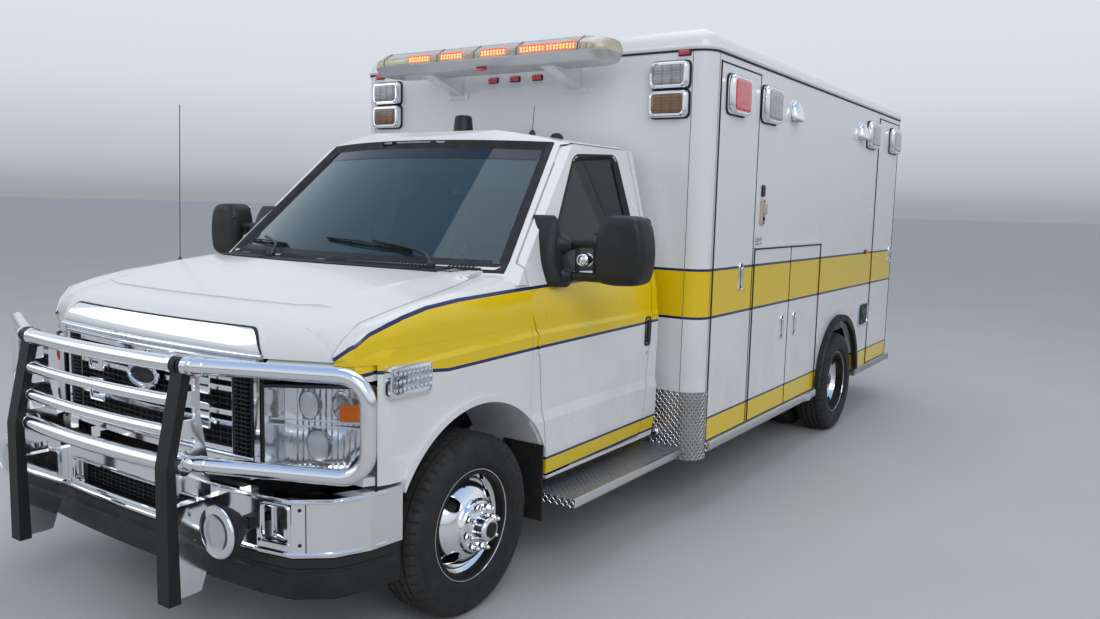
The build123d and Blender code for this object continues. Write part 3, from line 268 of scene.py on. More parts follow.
# Striping films: top line and bottom line as (y, z), where the film starts, and the width of its pinstripe
CAB_BAND = ([(-0.75, 1.02), (-0.7, 1.046), (-0.66, 1.066), (-0.632, 1.086), (-0.6, 1.122), (-0.543, 1.166),
             (-0.47, 1.194), (-0.4, 1.213), (-0.272, 1.238), (-0.1, 1.252), (0.357, 1.268), (1.6, 1.296)],
            [(-0.75, 1.02), (-0.518, 1.05), (-0.188, 1.018), (0.385, 1.032), (1.316, 1.045), (1.6, 1.05)],
            -0.75, 0.013)
CAB_FOOT = ([(0.3, 0.518), (0.482, 0.524), (1.377, 0.533), (1.6, 0.534)],
            [(0.3, 0.45), (0.485, 0.456), (1.328, 0.469), (1.6, 0.47)], 0.44, 0.012)
MODULE_BAND = ([(-3, 1.296), (7, 1.296)], [(-3, 1.06), (7, 1.06)], -3, 0.014)
MODULE_FOOT = ([(-3, 0.505), (7, 0.505)], [(-3, 0.385), (7, 0.385)], -3, 0.012)


def body_paint(name, bands, side_from=None):
    """White enamel with striping films, on the sides only where these start beyond side_from."""
    paint = Shader(name, WHITE, 0.22, Coat_Weight=0.3, Coat_Roughness=0.06)
    place = paint.place()
    y = paint.minus(place["y"], FRONT)
    z = place["z"]
    dirt = paint.both(paint.ramp(z, 1.1, 0.35, 0.0, 0.35), paint.ramp(paint.noise(3.2, 8), 0.42, 0.7))
    base = paint.mix(dirt, WHITE, GRIME)
    side = paint.more(paint.size(place["x"]), side_from) if side_from else 1.0
    for top, bottom, start, line in bands:
        top_z = paint.line(y, top, 0.3, 1.5)
        bottom_z = paint.line(y, bottom, 0.3, 1.5)
        for wider, colour in ((line, NAVY), (0.0, YELLOW)):
            inside = paint.both(side, paint.more(y, start - wider))
            inside = paint.both(inside, paint.less(z, paint.plus(top_z, wider)))
            inside = paint.both(inside, paint.more(z, paint.minus(bottom_z, wider)))
            base = paint.mix(inside, base, colour)
    paint.set(Base_Color=base)
    paint.rough(5, 0.2, 0.28)
    paint.bump(paint.noise(2.2, 2), 0.06, 0.004)


def simple(name, colour, low, high, metallic=0.0, scale=14.0, bump=0.0, bump_scale=60.0, wear=None):
    """One colour with a roughness between low and high; on request bumps, and patches of another colour."""
    shade = Shader(name, colour, (low + high) / 2, metallic)
    shade.rough(scale, low, high)
    if wear:
        shade.set(Base_Color=shade.mix(shade.ramp(shade.noise(scale * 0.6, 6), 0.5, 0.75), colour, wear))
    if bump:
        shade.bump(shade.noise(bump_scale, 4), bump, 0.002)


def tyre_rubber(name, axle_y):
    """Rubber, dusty on the sidewall and scuffed on the tread."""
    shade = Shader(name, srgb(30, 30, 31), 0.75)
    y = shade.minus(shade.place()["y"], FRONT + axle_y)
    z = shade.minus(shade.place()["z"], AXLE_HEIGHT)
    radius = shade.maths("SQRT", shade.plus(shade.both(y, y), shade.both(z, z)))
    dust = shade.both(shade.ramp(radius, 0.24, 0.33), shade.ramp(shade.noise(9, 7), 0.35, 0.75, 0.0, 0.55))
    base = shade.mix(dust, srgb(26, 26, 27), srgb(66, 64, 60))
    worn = shade.both(shade.ramp(radius, 0.356, 0.361), 0.5)
    shade.set(Base_Color=shade.mix(worn, base, srgb(58, 57, 55)))
    shade.rough(20, 0.62, 0.85)
    shade.bump(shade.noise(160, 3), 0.25, 0.0015)


def glass(name, colour, roughness, transmission):
    shade = Shader(name, colour, roughness, Transmission_Weight=transmission, IOR=1.45)
    shade.rough(5, roughness, roughness + 0.03)


def two_metals(name, mask_of):
    """Chrome where the mask is 0, and black rubber or plastic where it is 1."""
    shade = Shader(name, CHROME, 0.08, 1.0)
    mask = mask_of(shade)
    grain = shade.ramp(shade.noise(14, 5), 0.3, 0.7, 0.05, 0.13)
    shade.set(Base_Color=shade.mix(mask, CHROME, srgb(22, 22, 23)), Metallic=shade.minus(1.0, mask),
              Roughness=shade.blend(mask, grain, 0.6))
    shade.bump(shade.noise(18, 2), 0.03, 0.002)


def depth_behind(shade, outline, low, high):
    """Distance from the centre plane, and how far a point lies behind a plan given as (distance, y)."""
    x = shade.size(shade.place()["x"])
    return x, shade.minus(shade.minus(shade.place()["y"], FRONT), shade.line(x, outline, low, high))


def guard_mask(shade):
    """Rubber strips on the front edge of the guard's two uprights."""
    place = shade.place()
    y = shade.minus(place["y"], FRONT)
    back = shade.line(place["z"], [(0.27, -0.974), (0.735, -0.984), (1.082, -0.911)], -1.1, -0.8)
    return shade.both(shade.within(shade.size(place["x"]), 0.452, 0.522), shade.less(y, back))


def grille_mask(shade):
    """Dark wherever the grille lies behind its bars, and in its two vents."""
    nose = [(0.0, -0.764), (0.2, -0.76), (0.4, -0.748), (0.64, -0.724), (0.935, -0.6)]
    x, depth = depth_behind(shade, nose, -0.8, -0.5)
    vents = shade.both(shade.within(x, 0.482, 0.582), shade.within(shade.place()["z"], 0.715, 1.055))
    return shade.either(shade.more(depth, 0.022), vents)


def bumper_mask(shade):
    """Dark valance below, and dark behind the bumper's mouth."""
    bumper = [(0.0, -0.83), (0.3, -0.825), (0.69, -0.802), (0.832, -0.776), (0.936, -0.69), (0.988, -0.57),
              (1.02, -0.4)]
    x, depth = depth_behind(shade, bumper, -0.9, -0.3)
    behind = shade.both(shade.more(depth, 0.02), shade.less(x, 0.6))
    return shade.either(shade.less(shade.place()["z"], 0.441), behind)


def lamp_panel(name, colour, dark, glow=0.0):
    """Coloured lens over rows of small lamps."""
    shade = Shader(name, colour, 0.1, Coat_Weight=1.0, Coat_Roughness=0.03, Transmission_Weight=0.15)
    place = shade.place()
    edges = []
    for value, size in ((shade.plus(place["x"], place["y"]), 0.052), (place["z"], 0.015)):
        phase = shade.maths("FRACT", shade.maths("DIVIDE", value, size))
        edges.append(shade.ramp(shade.size(shade.minus(phase, 0.5)), 0.3, 0.48))
    cells = shade.either(*edges)
    patch = shade.ramp(shade.noise(11, 3, (1, 1, 2.5)), 0.35, 0.68)
    base = shade.mix(shade.both(cells, 0.55), colour, dark)
    base = shade.mix(shade.both(patch, 0.5), base, dark)
    shade.set(Base_Color=base)
    if glow:
        shade.set(Emission_Color=base, Emission_Strength=glow)
    shade.bump(cells, 0.3, 0.001)


def tread_plate():
    """Bright aluminium with raised bars that cross at right angles, dusty between them."""
    shade = Shader("tread_plate", (0.66, 0.66, 0.66), 0.3, 1.0)
    place = shade.place()
    split = shade.node("SeparateXYZ")
    shade.feed(shade.node("NewGeometry").outputs["Normal"], split.inputs[0])
    flat = shade.more(shade.size(split.outputs["Z"]), 0.6)
    across = shade.blend(flat, shade.plus(place["x"], place["y"]), place["x"])
    along = shade.blend(flat, place["z"], place["y"])
    u = shade.maths("DIVIDE", shade.plus(across, along), 0.034)
    v = shade.maths("DIVIDE", shade.minus(across, along), 0.034)

    def near(value, shift, reach):
        phase = shade.maths("FRACT", shade.plus(value, shift))
        return shade.ramp(shade.size(shade.minus(phase, 0.5)), reach, reach - 0.1)

    bars = shade.either(shade.both(near(u, 0.0, 0.42), near(v, 0.0, 0.15)),
                        shade.both(near(v, 0.5, 0.42), near(u, 0.5, 0.15)))
    dust = shade.ramp(shade.noise(5, 7), 0.35, 0.7, 0.05, 0.75)
    ground = shade.mix(dust, (0.34, 0.34, 0.34), srgb(128, 122, 112))
    shade.set(Base_Color=shade.mix(bars, ground, (0.8, 0.8, 0.8)), Roughness=shade.blend(bars, 0.42, 0.2))
    shade.bump(bars, 0.9, 0.003)


def glowing(name, colour, edge, strength):
    """A lit lamp part, a little uneven."""
    shade = Shader(name, colour, 0.3)
    patch = shade.mix(shade.ramp(shade.noise(60, 3), 0.3, 0.7), colour, edge)
    shade.set(Base_Color=patch, Emission_Color=patch, Emission_Strength=strength)
    shade.bump(shade.noise(200, 2), 0.1, 0.0005)


MATERIALS = {
    body_paint: {"cab_paint": ([CAB_BAND, CAB_FOOT], 0.72), "module_paint": ([MODULE_BAND, MODULE_FOOT],),
                 "plain_white_paint": ([],)},
    # colour, lowest and highest roughness, metallic, scale, bump and its scale, worn colour
    simple: {
        "chrome": (CHROME, 0.04, 0.12, 1.0, 6, 0.03, 20),
        "polished_steel": ((0.72, 0.73, 0.75), 0.1, 0.24, 1.0, 10, 0.04, 30),
        "brushed_aluminium": ((0.62, 0.63, 0.64), 0.28, 0.42, 1.0, 12),
        "black_rubber": (srgb(24, 24, 25), 0.55, 0.8, 0, 18, 0.2, 90, srgb(48, 46, 43)),
        "black_plastic": (srgb(20, 21, 22), 0.42, 0.6, 0, 16, 0.25, 260, srgb(36, 36, 36)),
        "chassis_black": (srgb(28, 28, 28), 0.55, 0.85, 0.2, 8, 0.3, 50, srgb(78, 58, 44)),
        "cast_metal": (srgb(58, 56, 54), 0.5, 0.8, 0.7, 10, 0.3, 60, srgb(96, 62, 40)),
        "grey_trim": (srgb(70, 72, 76), 0.6, 0.85, 0, 16, 0.25, 240, srgb(84, 84, 86)),
        "cabinet": (srgb(206, 204, 196), 0.35, 0.5, 0, 6),
        "wheel_steel": (srgb(38, 37, 36), 0.45, 0.7, 0.6, 9, 0.2, 60, srgb(82, 66, 52)),
        "hub_plug": (srgb(52, 54, 58), 0.25, 0.45, 0.8, 30, 0.1, 90),
        "beige_plastic": (srgb(186, 178, 158), 0.45, 0.6, 0, 14, 0.1, 90),
        "green_plastic": (srgb(46, 104, 66), 0.4, 0.55, 0, 14, 0.1, 90),
        "sealant": (srgb(92, 96, 104), 0.5, 0.7, 0, 14),
        "taupe_steel": (srgb(150, 142, 132), 0.2, 0.36, 0.85, 4, 0.05, 12),
        "satin_black": (srgb(28, 28, 29), 0.3, 0.48, 0, 16, 0.1, 120, srgb(52, 50, 47)),
        "grey_plastic": (srgb(96, 98, 100), 0.4, 0.6, 0, 16, 0.1, 120),
        "mirror": ((0.82, 0.84, 0.86), 0.01, 0.05, 1.0, 4, 0.01, 8),
        "lamp_chrome": ((0.9, 0.91, 0.92), 0.08, 0.2, 1.0, 22),
        "badge": (srgb(60, 62, 66), 0.18, 0.3, 0.9, 12)},
    tyre_rubber: {"tyre_front": (0.0,), "tyre_rear": (WHEELBASE,)},
    two_metals: {"guard_chrome_and_rubber": (guard_mask,), "grille_chrome_and_black": (grille_mask,),
                 "bumper_chrome_and_black": (bumper_mask,)},
    # colour, roughness, transmission
    glass: {
        "window_glass": (srgb(122, 160, 168), 0.0, 0.92), "dark_glass": (srgb(30, 34, 38), 0.02, 0.5),
        "clear_lens": (srgb(240, 243, 246), 0.02, 0.95), "tint_glass": (srgb(26, 34, 46), 0.02, 0.55),
        "bar_lens": (srgb(248, 242, 222), 0.08, 0.74), "amber_lens": (srgb(240, 120, 20), 0.06, 0.35),
        "red_lens": (srgb(200, 24, 28), 0.06, 0.35), "blue_lens": (srgb(30, 70, 190), 0.06, 0.35)},
    # colour, darker colour, glow
    lamp_panel: {
        "clear_panel": (srgb(190, 196, 198), srgb(92, 96, 96)),
        "red_panel": (srgb(222, 58, 66), srgb(120, 16, 22), 0.25),
        "amber_panel": (srgb(150, 104, 48), srgb(66, 44, 26))},
    glowing: {
        "red_glow": (srgb(235, 38, 30), srgb(170, 12, 16), 1.1),
        "amber_glow": (srgb(255, 196, 40), srgb(255, 150, 20), 2.6)}}
for make, rows in MATERIALS.items():
    for name, row in rows.items():
        make(name, *row)
tread_plate()

# Materials of the CAD nodes; a star stands for left and for right
MODULE_NODES = ("side_walls end_walls left_front_door left_low_door_front left_low_door_rear "
                "right_entry_door *_rear_door rear_door_*")
NODES_OF = {
    "chassis_black": "frame_rails tank_and_exhaust", "cast_metal": "axles powertrain knuckle_*",
    "cab_paint": "cab_shell front_fenders cab_door_*", "module_paint": MODULE_NODES,
    "plain_white_paint": "module_roof hood", "window_glass": "windscreen", "dark_glass": "cab_glass_*",
    "grey_trim": "cab_interior", "cabinet": "module_interior", "brushed_aluminium": "module_floor",
    "grille_chrome_and_black": "grille", "guard_chrome_and_rubber": "grille_guard",
    "bumper_chrome_and_black": "front_bumper", "clear_lens": "headlamps warning_lamps light_bar",
    "black_plastic": "lamp_pods mirror_*", "tread_plate": "treadplate",
    "black_rubber": "flares_and_flaps tyre_front_* tyres_rear_*", "chrome": "rim_front_* rims_rear_*"}
for material, names in NODES_OF.items():
    for name in names.split():
        for side in ("left", "right"):
            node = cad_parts[name.replace("*", side)]
            node.data.materials.clear()
            node.data.materials.append(mats[material])

# Slots of the materials that have no slot of their own name
LAMP_MATERIALS = ("lamp_chrome clear_lens amber_lens red_lens blue_lens bar_lens clear_panel red_panel "
                  "amber_panel red_glow amber_glow")
SLOTS = {
    "tyre": "tyre_front tyre_rear", "chrome": "badge polished_steel", "lamp_lens": LAMP_MATERIALS,
    "white_paint": "cab_paint plain_white_paint", "chassis_black": "hub_plug wheel_steel",
    "grey_trim": "sealant beige_plastic", "tread_plate": "taupe_steel",
    "black_plastic": "green_plastic grey_plastic satin_black", "window_glass": "dark_glass tint_glass mirror"}
SLOT_OF = {material: slot for slot, names in SLOTS.items() for material in names.split()}


# ---------------------------------------------------------------- shapes

def rounded(points, radius, steps=4):
    """Outline with its corners rounded."""
    out = []
    for i, point in enumerate(points):
        here = Vector(point)
        before = Vector(points[i - 1]) - here
        after = Vector(points[(i + 1) % len(points)]) - here
        cut = min(radius, before.length * 0.48, after.length * 0.48)
        start = here + before.normalized() * cut
        end = here + after.normalized() * cut
        for t in spread(0, 1, steps):
            out.append(tuple(start * (1 - t) ** 2 + here * 2 * t * (1 - t) + end * t ** 2))
    return out


def spread(low, high, steps):
    """Even numbers from low to high."""
    return [low + (high - low) * k / steps for k in range(steps + 1)]


def circle(count, width, height=None, turn=0.0):
    """Points of a circle or an ellipse about the origin."""
    angles = [2 * math.pi * (k + turn) / count for k in range(count)]
    return [(width * math.cos(angle), (height or width) * math.sin(angle)) for angle in angles]


def follow(table, value):
    """Value of a line through (x, y) points."""
    for (x0, y0), (x1, y1) in zip(table, table[1:]):
        if value <= x1:
            return y0 + (y1 - y0) * (value - x0) / (x1 - x0)
    return table[-1][1]


def split_long(outline, limit, count):
    """Outline with each side that is longer than limit divided into count parts."""
    out = []
    for (a, b), (c, d) in zip(outline, outline[1:] + outline[:1]):
        for t in spread(0, 1, count if math.hypot(c - a, d - b) > limit else 1)[:-1]:
            out.append((a + (c - a) * t, b + (d - b) * t))
    return out


def scaled(outline, centre, size):
    """Outline made larger or smaller about a centre."""
    return [(centre[0] + (a - centre[0]) * size, centre[1] + (b - centre[1]) * size) for a, b in outline]


def rect(a0, a1, b0, b1):
    return [(a0, b0), (a1, b0), (a1, b1), (a0, b1)]


def plate(width, height, radius, steps=4):
    """Rounded rectangle about the origin."""
    return rounded(rect(-width / 2, width / 2, -height / 2, height / 2), radius, steps)


def smooth_path(points, steps=6):
    """Points of a Catmull-Rom curve through the given ones."""
    points = [Vector(point) for point in points]
    out = []
    for i in range(len(points) - 1):
        a, b, c, d = points[max(i - 1, 0)], points[i], points[i + 1], points[min(i + 2, len(points) - 1)]
        for t in spread(0, 1, steps)[:-1]:
            out.append(0.5 * (2 * b + (c - a) * t + (2 * a - 5 * b + 4 * c - d) * t ** 2
                              + (3 * b - a - 3 * c + d) * t ** 3))
    return out + points[-1:]


class Form:
    """A mesh in metres, measured from the front axle, put together from pushed, swept and turned shapes."""

    def __init__(self):
        self.bm = bmesh.new()

    def skin(self, rings, loop=False, caps=True, bevel=0.0, segments=2):
        """Faces between rings of as many points, closed by a cap at each end or back to the first ring."""
        rows = [[self.bm.verts.new(point) for point in ring] for ring in rings]
        faces = []
        for here, there in zip(rows, rows[1:] + rows[:1] if loop else rows[1:]):
            for i in range(len(here)):
                j = (i + 1) % len(here)
                faces.append(self.bm.faces.new((here[i], here[j], there[j], there[i])))
        if caps and not loop:
            faces += [self.bm.faces.new(rows[0]), self.bm.faces.new(rows[-1])]
        if bevel:
            edges = list({edge for face in faces for edge in face.edges})
            bmesh.ops.bevel(self.bm, geom=edges, offset=bevel, segments=segments, profile=0.5, affect="EDGES",
                            clamp_overlap=True)
        return self

    def prism(self, outline, axis, low, high, bevel=0.0, segments=2):
        """Outline of the two other axes, pushed along axis."""
        def spot(depth, a, b):
            return {"x": (depth, a, b), "y": (a, depth, b), "z": (a, b, depth)}[axis]

        rings = [[spot(depth, a, b) for a, b in outline] for depth in (low, high)]
        return self.skin(rings, bevel=bevel, segments=segments)

    def box(self, x0, x1, y0, y1, z0, z1, bevel=0.0, segments=2):
        return self.prism(rect(y0, y1, z0, z1), "x", x0, x1, bevel, segments)

    def stack(self, place, levels, loop=False, corner=0.22):
        """Rounded rectangles of (width, height, depth) at a place on a wall, joined in order."""
        rings = []
        for width, height, depth in levels:
            outline = plate(width, height, min(width, height) * corner, 5)
            rings.append([place(u, v, depth) for u, v in outline])
        return self.skin(rings, loop)

    def tube(self, points, radius, sides=14, loop=False, squeeze=1.0):
        """Round bar along points."""
        points = [Vector(point) for point in points]
        up = None
        rings = []
        for i, point in enumerate(points):
            before = points[i - 1] if (i or loop) else point
            after = points[(i + 1) % len(points)] if (loop or i < len(points) - 1) else point
            tangent = (after - before).normalized()
            up = up or tangent.orthogonal().normalized()
            up = (up - tangent * up.dot(tangent)).normalized()
            side = tangent.cross(up)
            rings.append([point + (up * a * squeeze + side * b) * radius for a, b in circle(sides, 1.0)])
        return self.skin(rings, loop)

    def lathe(self, profile, centre, axis="x", segments=48, loop=False, shape=None):
        """Profile of (along, radius) turned about an axis through centre."""
        cx, cy, cz = centre
        rings = []
        for along, radius in profile:
            ring = []
            for k, (c, s) in enumerate(circle(segments, 1.0)):
                size = shape(along, radius, k) if shape else radius
                c, s = size * c, size * s
                ring.append({"x": (cx + along, cy + c, cz + s), "y": (cx + c, cy + along, cz + s),
                             "z": (cx + c, cy + s, cz + along)}[axis])
            rings.append(ring)
        return self.skin(rings, loop)

    def studs(self, profile, centres, axis, segments):
        """The same turned shape at many places."""
        for centre in centres:
            self.lathe(profile, centre, axis, segments)
        return self

    def sheet(self, grid, lift=0.003, sink=0.004):
        """A thin plate over rows of (point, normal), lift above them and sink below."""
        rows = len(grid)
        columns = len(grid[0])
        top = [[self.bm.verts.new(p + n * lift) for p, n in row] for row in grid]
        low = [[self.bm.verts.new(p - n * sink) for p, n in row] for row in grid]
        for i in range(rows - 1):
            for j in range(columns - 1):
                for level in (top, low):
                    self.bm.faces.new((level[i][j], level[i][j + 1], level[i + 1][j + 1], level[i + 1][j]))
        edge = [(0, j) for j in range(columns)] + [(i, columns - 1) for i in range(1, rows)]
        edge += [(rows - 1, j) for j in range(columns - 2, -1, -1)] + [(i, 0) for i in range(rows - 2, 0, -1)]
        for (i, j), (m, n) in zip(edge, edge[1:] + edge[:1]):
            self.bm.faces.new((top[i][j], top[m][n], low[m][n], low[i][j]))
        return self

    def mesh(self, name, flip=False):
        bm = self.bm.copy()
        for vert in bm.verts:
            vert.co.y += FRONT
            if flip:
                vert.co.x = -vert.co.x
        bmesh.ops.recalc_face_normals(bm, faces=bm.faces[:])
        mesh = bpy.data.meshes.new(name)
        bm.to_mesh(mesh)
        bm.free()
        return mesh

    def done(self, name, material, body="chassis", replaces=(), angle=34, pair=False, cut=None, slot=None):
        """Makes the object, and with pair its mirror image as well, on the body of the other side."""
        slot = slot or SLOT_OF.get(material, material)
        for side in ("left", "right") if pair else ("",):
            flip = side == "right"
            full_name = name + "_" + side if pair else name
            piece = add_object(full_name, self.mesh(full_name, flip))
            if cut:
                carve(piece, cut.mesh("cutter", flip))
            piece.data.polygons.foreach_set("use_smooth", [True] * len(piece.data.polygons))
            piece.data.set_sharp_from_angle(angle=math.radians(angle))
            piece.data.materials.clear()
            piece.data.materials.append(mats[material])
            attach(piece, body.replace("left", side) if flip else body)
            if replaces:
                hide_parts(*[node.replace("left", side) if flip else node for node in replaces])


def carve(piece, tool_mesh):
    """Takes the tool's shape out of a closed piece."""
    tool = add_object("tool", tool_mesh)
    change = piece.modifiers.new("cut", "BOOLEAN")
    change.object = tool
    change.operation = "DIFFERENCE"
    change.solver = "EXACT"
    bpy.context.view_layer.update()
    made = bpy.data.meshes.new_from_object(piece.evaluated_get(bpy.context.evaluated_depsgraph_get()))
    piece.modifiers.clear()
    piece.data = made
    bpy.data.objects.remove(tool)


class Surface:
    """The outside of some CAD nodes, to seat pieces on."""

    def __init__(self, *names):
        verts = []
        faces = []
        for name in names:
            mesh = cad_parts[name].data
            start = len(verts)
            verts.extend(vert.co.copy() for vert in mesh.vertices)
            faces.extend([start + i for i in face.vertices] for face in mesh.polygons)
        self.tree = BVHTree.FromPolygons(verts, faces)

    def hit(self, start, way):
        """Where a ray first meets the surface, and which way it faces there."""
        way = Vector(way).normalized()
        point, normal = self.tree.ray_cast(Vector((start[0], start[1] + FRONT, start[2])), way)[:2]
        if point is None:
            return None
        return point - Vector((0, FRONT, 0)), -normal if normal.dot(way) > 0 else normal

    def below(self, x, y, height=1.75):
        return self.hit((x, y, height), (0, 0, -1))

    def beside(self, y, z):
        """The left side's surface, met from outside."""
        return self.hit((1.4, y, z), (-1, 0, 0))


# ---------------------------------------------------------------- wheels

FRONT_WHEEL_X = 0.8815
REAR_WHEEL_X = (0.852, 1.124)
LIP = 0.0875
# Half of the tyre's outline, as (from its middle, radius)
TYRE_HALF = [(0.082, 0.2075), (0.088, 0.215), (0.09, 0.224), (0.096, 0.229), (0.1035, 0.24), (0.106, 0.245),
    (0.1078, 0.246), (0.108, 0.25), (0.1092, 0.264), (0.1098, 0.285), (0.1088, 0.303), (0.1074, 0.31),
    (0.109, 0.312), (0.108, 0.315), (0.105, 0.318), (0.1015, 0.332), (0.098, 0.34), (0.094, 0.346),
    (0.088, 0.352), (0.08, 0.3575), (0.07, 0.3598), (0.059, 0.3605), (0.058, 0.352), (0.05, 0.352),
    (0.049, 0.3612), (0.024, 0.362), (0.023, 0.3525), (0.015, 0.3525), (0.014, 0.362)]
BEAD = [(0.0815, 0.207), (-0.0815, 0.207)]
TREAD_SEGMENTS = 216
TREAD_PERIOD = 4
# Chrome covers from the rim's lip to the hub, as (beyond the lip, radius)
COVER_LIP = [(-0.004, 0.2085), (0.001, 0.2205), (0.0035, 0.2215), (0.0035, 0.219), (-0.002, 0.2165)]
FRONT_COVER = COVER_LIP + [(-0.01, 0.2145), (-0.016, 0.212), (-0.03, 0.203), (-0.034, 0.199),
    (-0.046, 0.1915), (-0.05, 0.186), (-0.048, 0.179), (-0.036, 0.17), (-0.02, 0.158), (-0.005, 0.143),
    (0.005, 0.129), (0.0105, 0.118), (0.013, 0.111), (0.0195, 0.1065), (0.029, 0.104), (0.035, 0.1005),
    (0.0375, 0.096), (0.038, 0.09), (0.039, 0.06)]
REAR_COVER = COVER_LIP + [(-0.014, 0.212), (-0.04, 0.201), (-0.075, 0.192), (-0.092, 0.185), (-0.098, 0.176),
    (-0.104, 0.162), (-0.114, 0.144), (-0.119, 0.128), (-0.1195, 0.115), (-0.112, 0.108), (-0.102, 0.104),
    (-0.096, 0.1), (-0.094, 0.094), (-0.093, 0.064)]
FRONT_CAP = [(0.034, 0.062), (0.04, 0.06), (0.044, 0.053), (0.05, 0.0505), (0.082, 0.0485), (0.091, 0.046),
             (0.0965, 0.04), (0.0975, 0.033), (0.094, 0.0315), (0.093, 0.001)]
REAR_CAP = [(-0.1, 0.068), (-0.092, 0.066), (-0.088, 0.06), (-0.056, 0.0585), (-0.048, 0.056),
    (-0.0445, 0.05), (-0.044, 0.034), (-0.046, 0.032), (-0.0465, 0.001)]
# Steel rim: its ring, and the discs that carry it
RING = [(0, 0.22), (-0.006, 0.22), (-0.006, 0.2062), (-0.169, 0.2062), (-0.169, 0.22), (-0.175, 0.22),
        (-0.175, 0.198), (-0.08, 0.196), (0, 0.2)]
FRONT_DISC = [(-0.06, 0.198), (-0.056, 0.14), (-0.02, 0.11), (-0.02, 0.034), (-0.034, 0.034), (-0.034, 0.105),
              (-0.07, 0.138), (-0.07, 0.198)]
FRONT_HUB = [(-0.15, 0.15), (-0.145, 0.155), (-0.11, 0.155), (-0.106, 0.15), (-0.106, 0.07), (-0.06, 0.066),
             (-0.034, 0.06), (-0.034, 0.034), (-0.15, 0.034)]
OUTER_DISC = [(-0.11, 0.197), (-0.128, 0.15), (-0.13, 0.034), (-0.142, 0.034), (-0.142, 0.15), (-0.12, 0.197)]
INNER_DISC = [(0.11, 0.197), (0.128, 0.15), (0.13, 0.034), (0.142, 0.034), (0.142, 0.15), (0.12, 0.197)]
REAR_HUB = [(0.02, 0.15), (0.02, 0.07), (0.09, 0.07), (0.3, 0.07), (0.3, 0.034), (0.02, 0.034), (0.01, 0.15)]
HAND_HOLES, HAND_HOLE_CIRCLE, HAND_HOLE = 4, 0.15, 0.029
NUTS, NUT_CIRCLE, NUT = 8, 0.0825, 0.0125
# Washer, hexagon and domed crown of a nut, as (from its top, beyond its radius), and their sides
NUT_PARTS = (([(-0.036, 0.004), (-0.031, 0.003)], 20),
             ([(-0.036, 0), (-0.018, 0), (-0.016, -0.002)], 6),
             ([(-0.018, -0.002), (-0.01, -0.0028), (-0.004, -0.006), (-0.001, -0.009), (0, 0.001 - NUT)], 14))


def tread(along, radius, k):
    """Shoulder blocks and sipes cut into the crown."""
    reach = abs(along)
    phase = (k + (2 if along > 0 else 0)) % TREAD_PERIOD
    if 0.06 < reach < 0.095 and radius > 0.345 and phase == 0:
        return radius - 0.0075
    if 0.02 < reach < 0.05 and radius > 0.355 and phase == 1:
        return radius - 0.0045
    return radius


def profile_at(profile, radius):
    """How far beyond the lip the cover is at a radius."""
    for (a0, r0), (a1, r1) in zip(profile[4:], profile[5:]):
        if r1 <= radius <= r0:
            return a0 + (a1 - a0) * (r0 - radius) / max(r0 - r1, 1e-6)
    return profile[-1][0]


def wheel_cover(name, body, profile, lip, y, top, cap):
    """Chrome cover with four hand holes, lug nuts and a hub cap; top is where the nuts end."""
    axle = (lip, y, AXLE_HEIGHT)
    holes = [(lip, y + dy, AXLE_HEIGHT + dz) for dy, dz in circle(HAND_HOLES, HAND_HOLE_CIRCLE, turn=0.5)]
    back = [(a - 0.004, r - 0.0015) for a, r in reversed(profile)]
    cutter = Form().studs([(-0.2, HAND_HOLE), (0.06, HAND_HOLE)], holes, "x", 32)
    cover = Form().lathe(profile + back, axle, "x", 96, True)
    cover.done(name + "_cover", "chrome", body, (name + "_left",), 50, True, cutter)
    trim = Form()
    for _, hole_y, hole_z in holes:
        edge = [(hole_y + a, hole_z + b) for a, b in circle(28, HAND_HOLE + 0.001)]
        edge = [(lip + profile_at(profile, math.hypot(a - y, b - AXLE_HEIGHT)), a, b) for a, b in edge]
        trim.tube(edge, 0.0028, 8, True)
    for dy, dz in circle(NUTS, NUT_CIRCLE, turn=0.25):
        for rows, segments in NUT_PARTS:
            trim.lathe([(top + a, NUT + r) for a, r in rows], (lip, y + dy, AXLE_HEIGHT + dz), "x", segments)
    trim.lathe(cap, axle, "x", 40).done(name + "_nuts", "chrome", body, angle=40, pair=True)
    top = max(a for a, r in cap)
    Form().lathe([(top - 0.004, 0.03), (top + 0.0005, 0.029), (top + 0.001, 0.001)], axle, "x", 32).done(
        name + "_cap", "hub_plug", body, angle=30, pair=True)


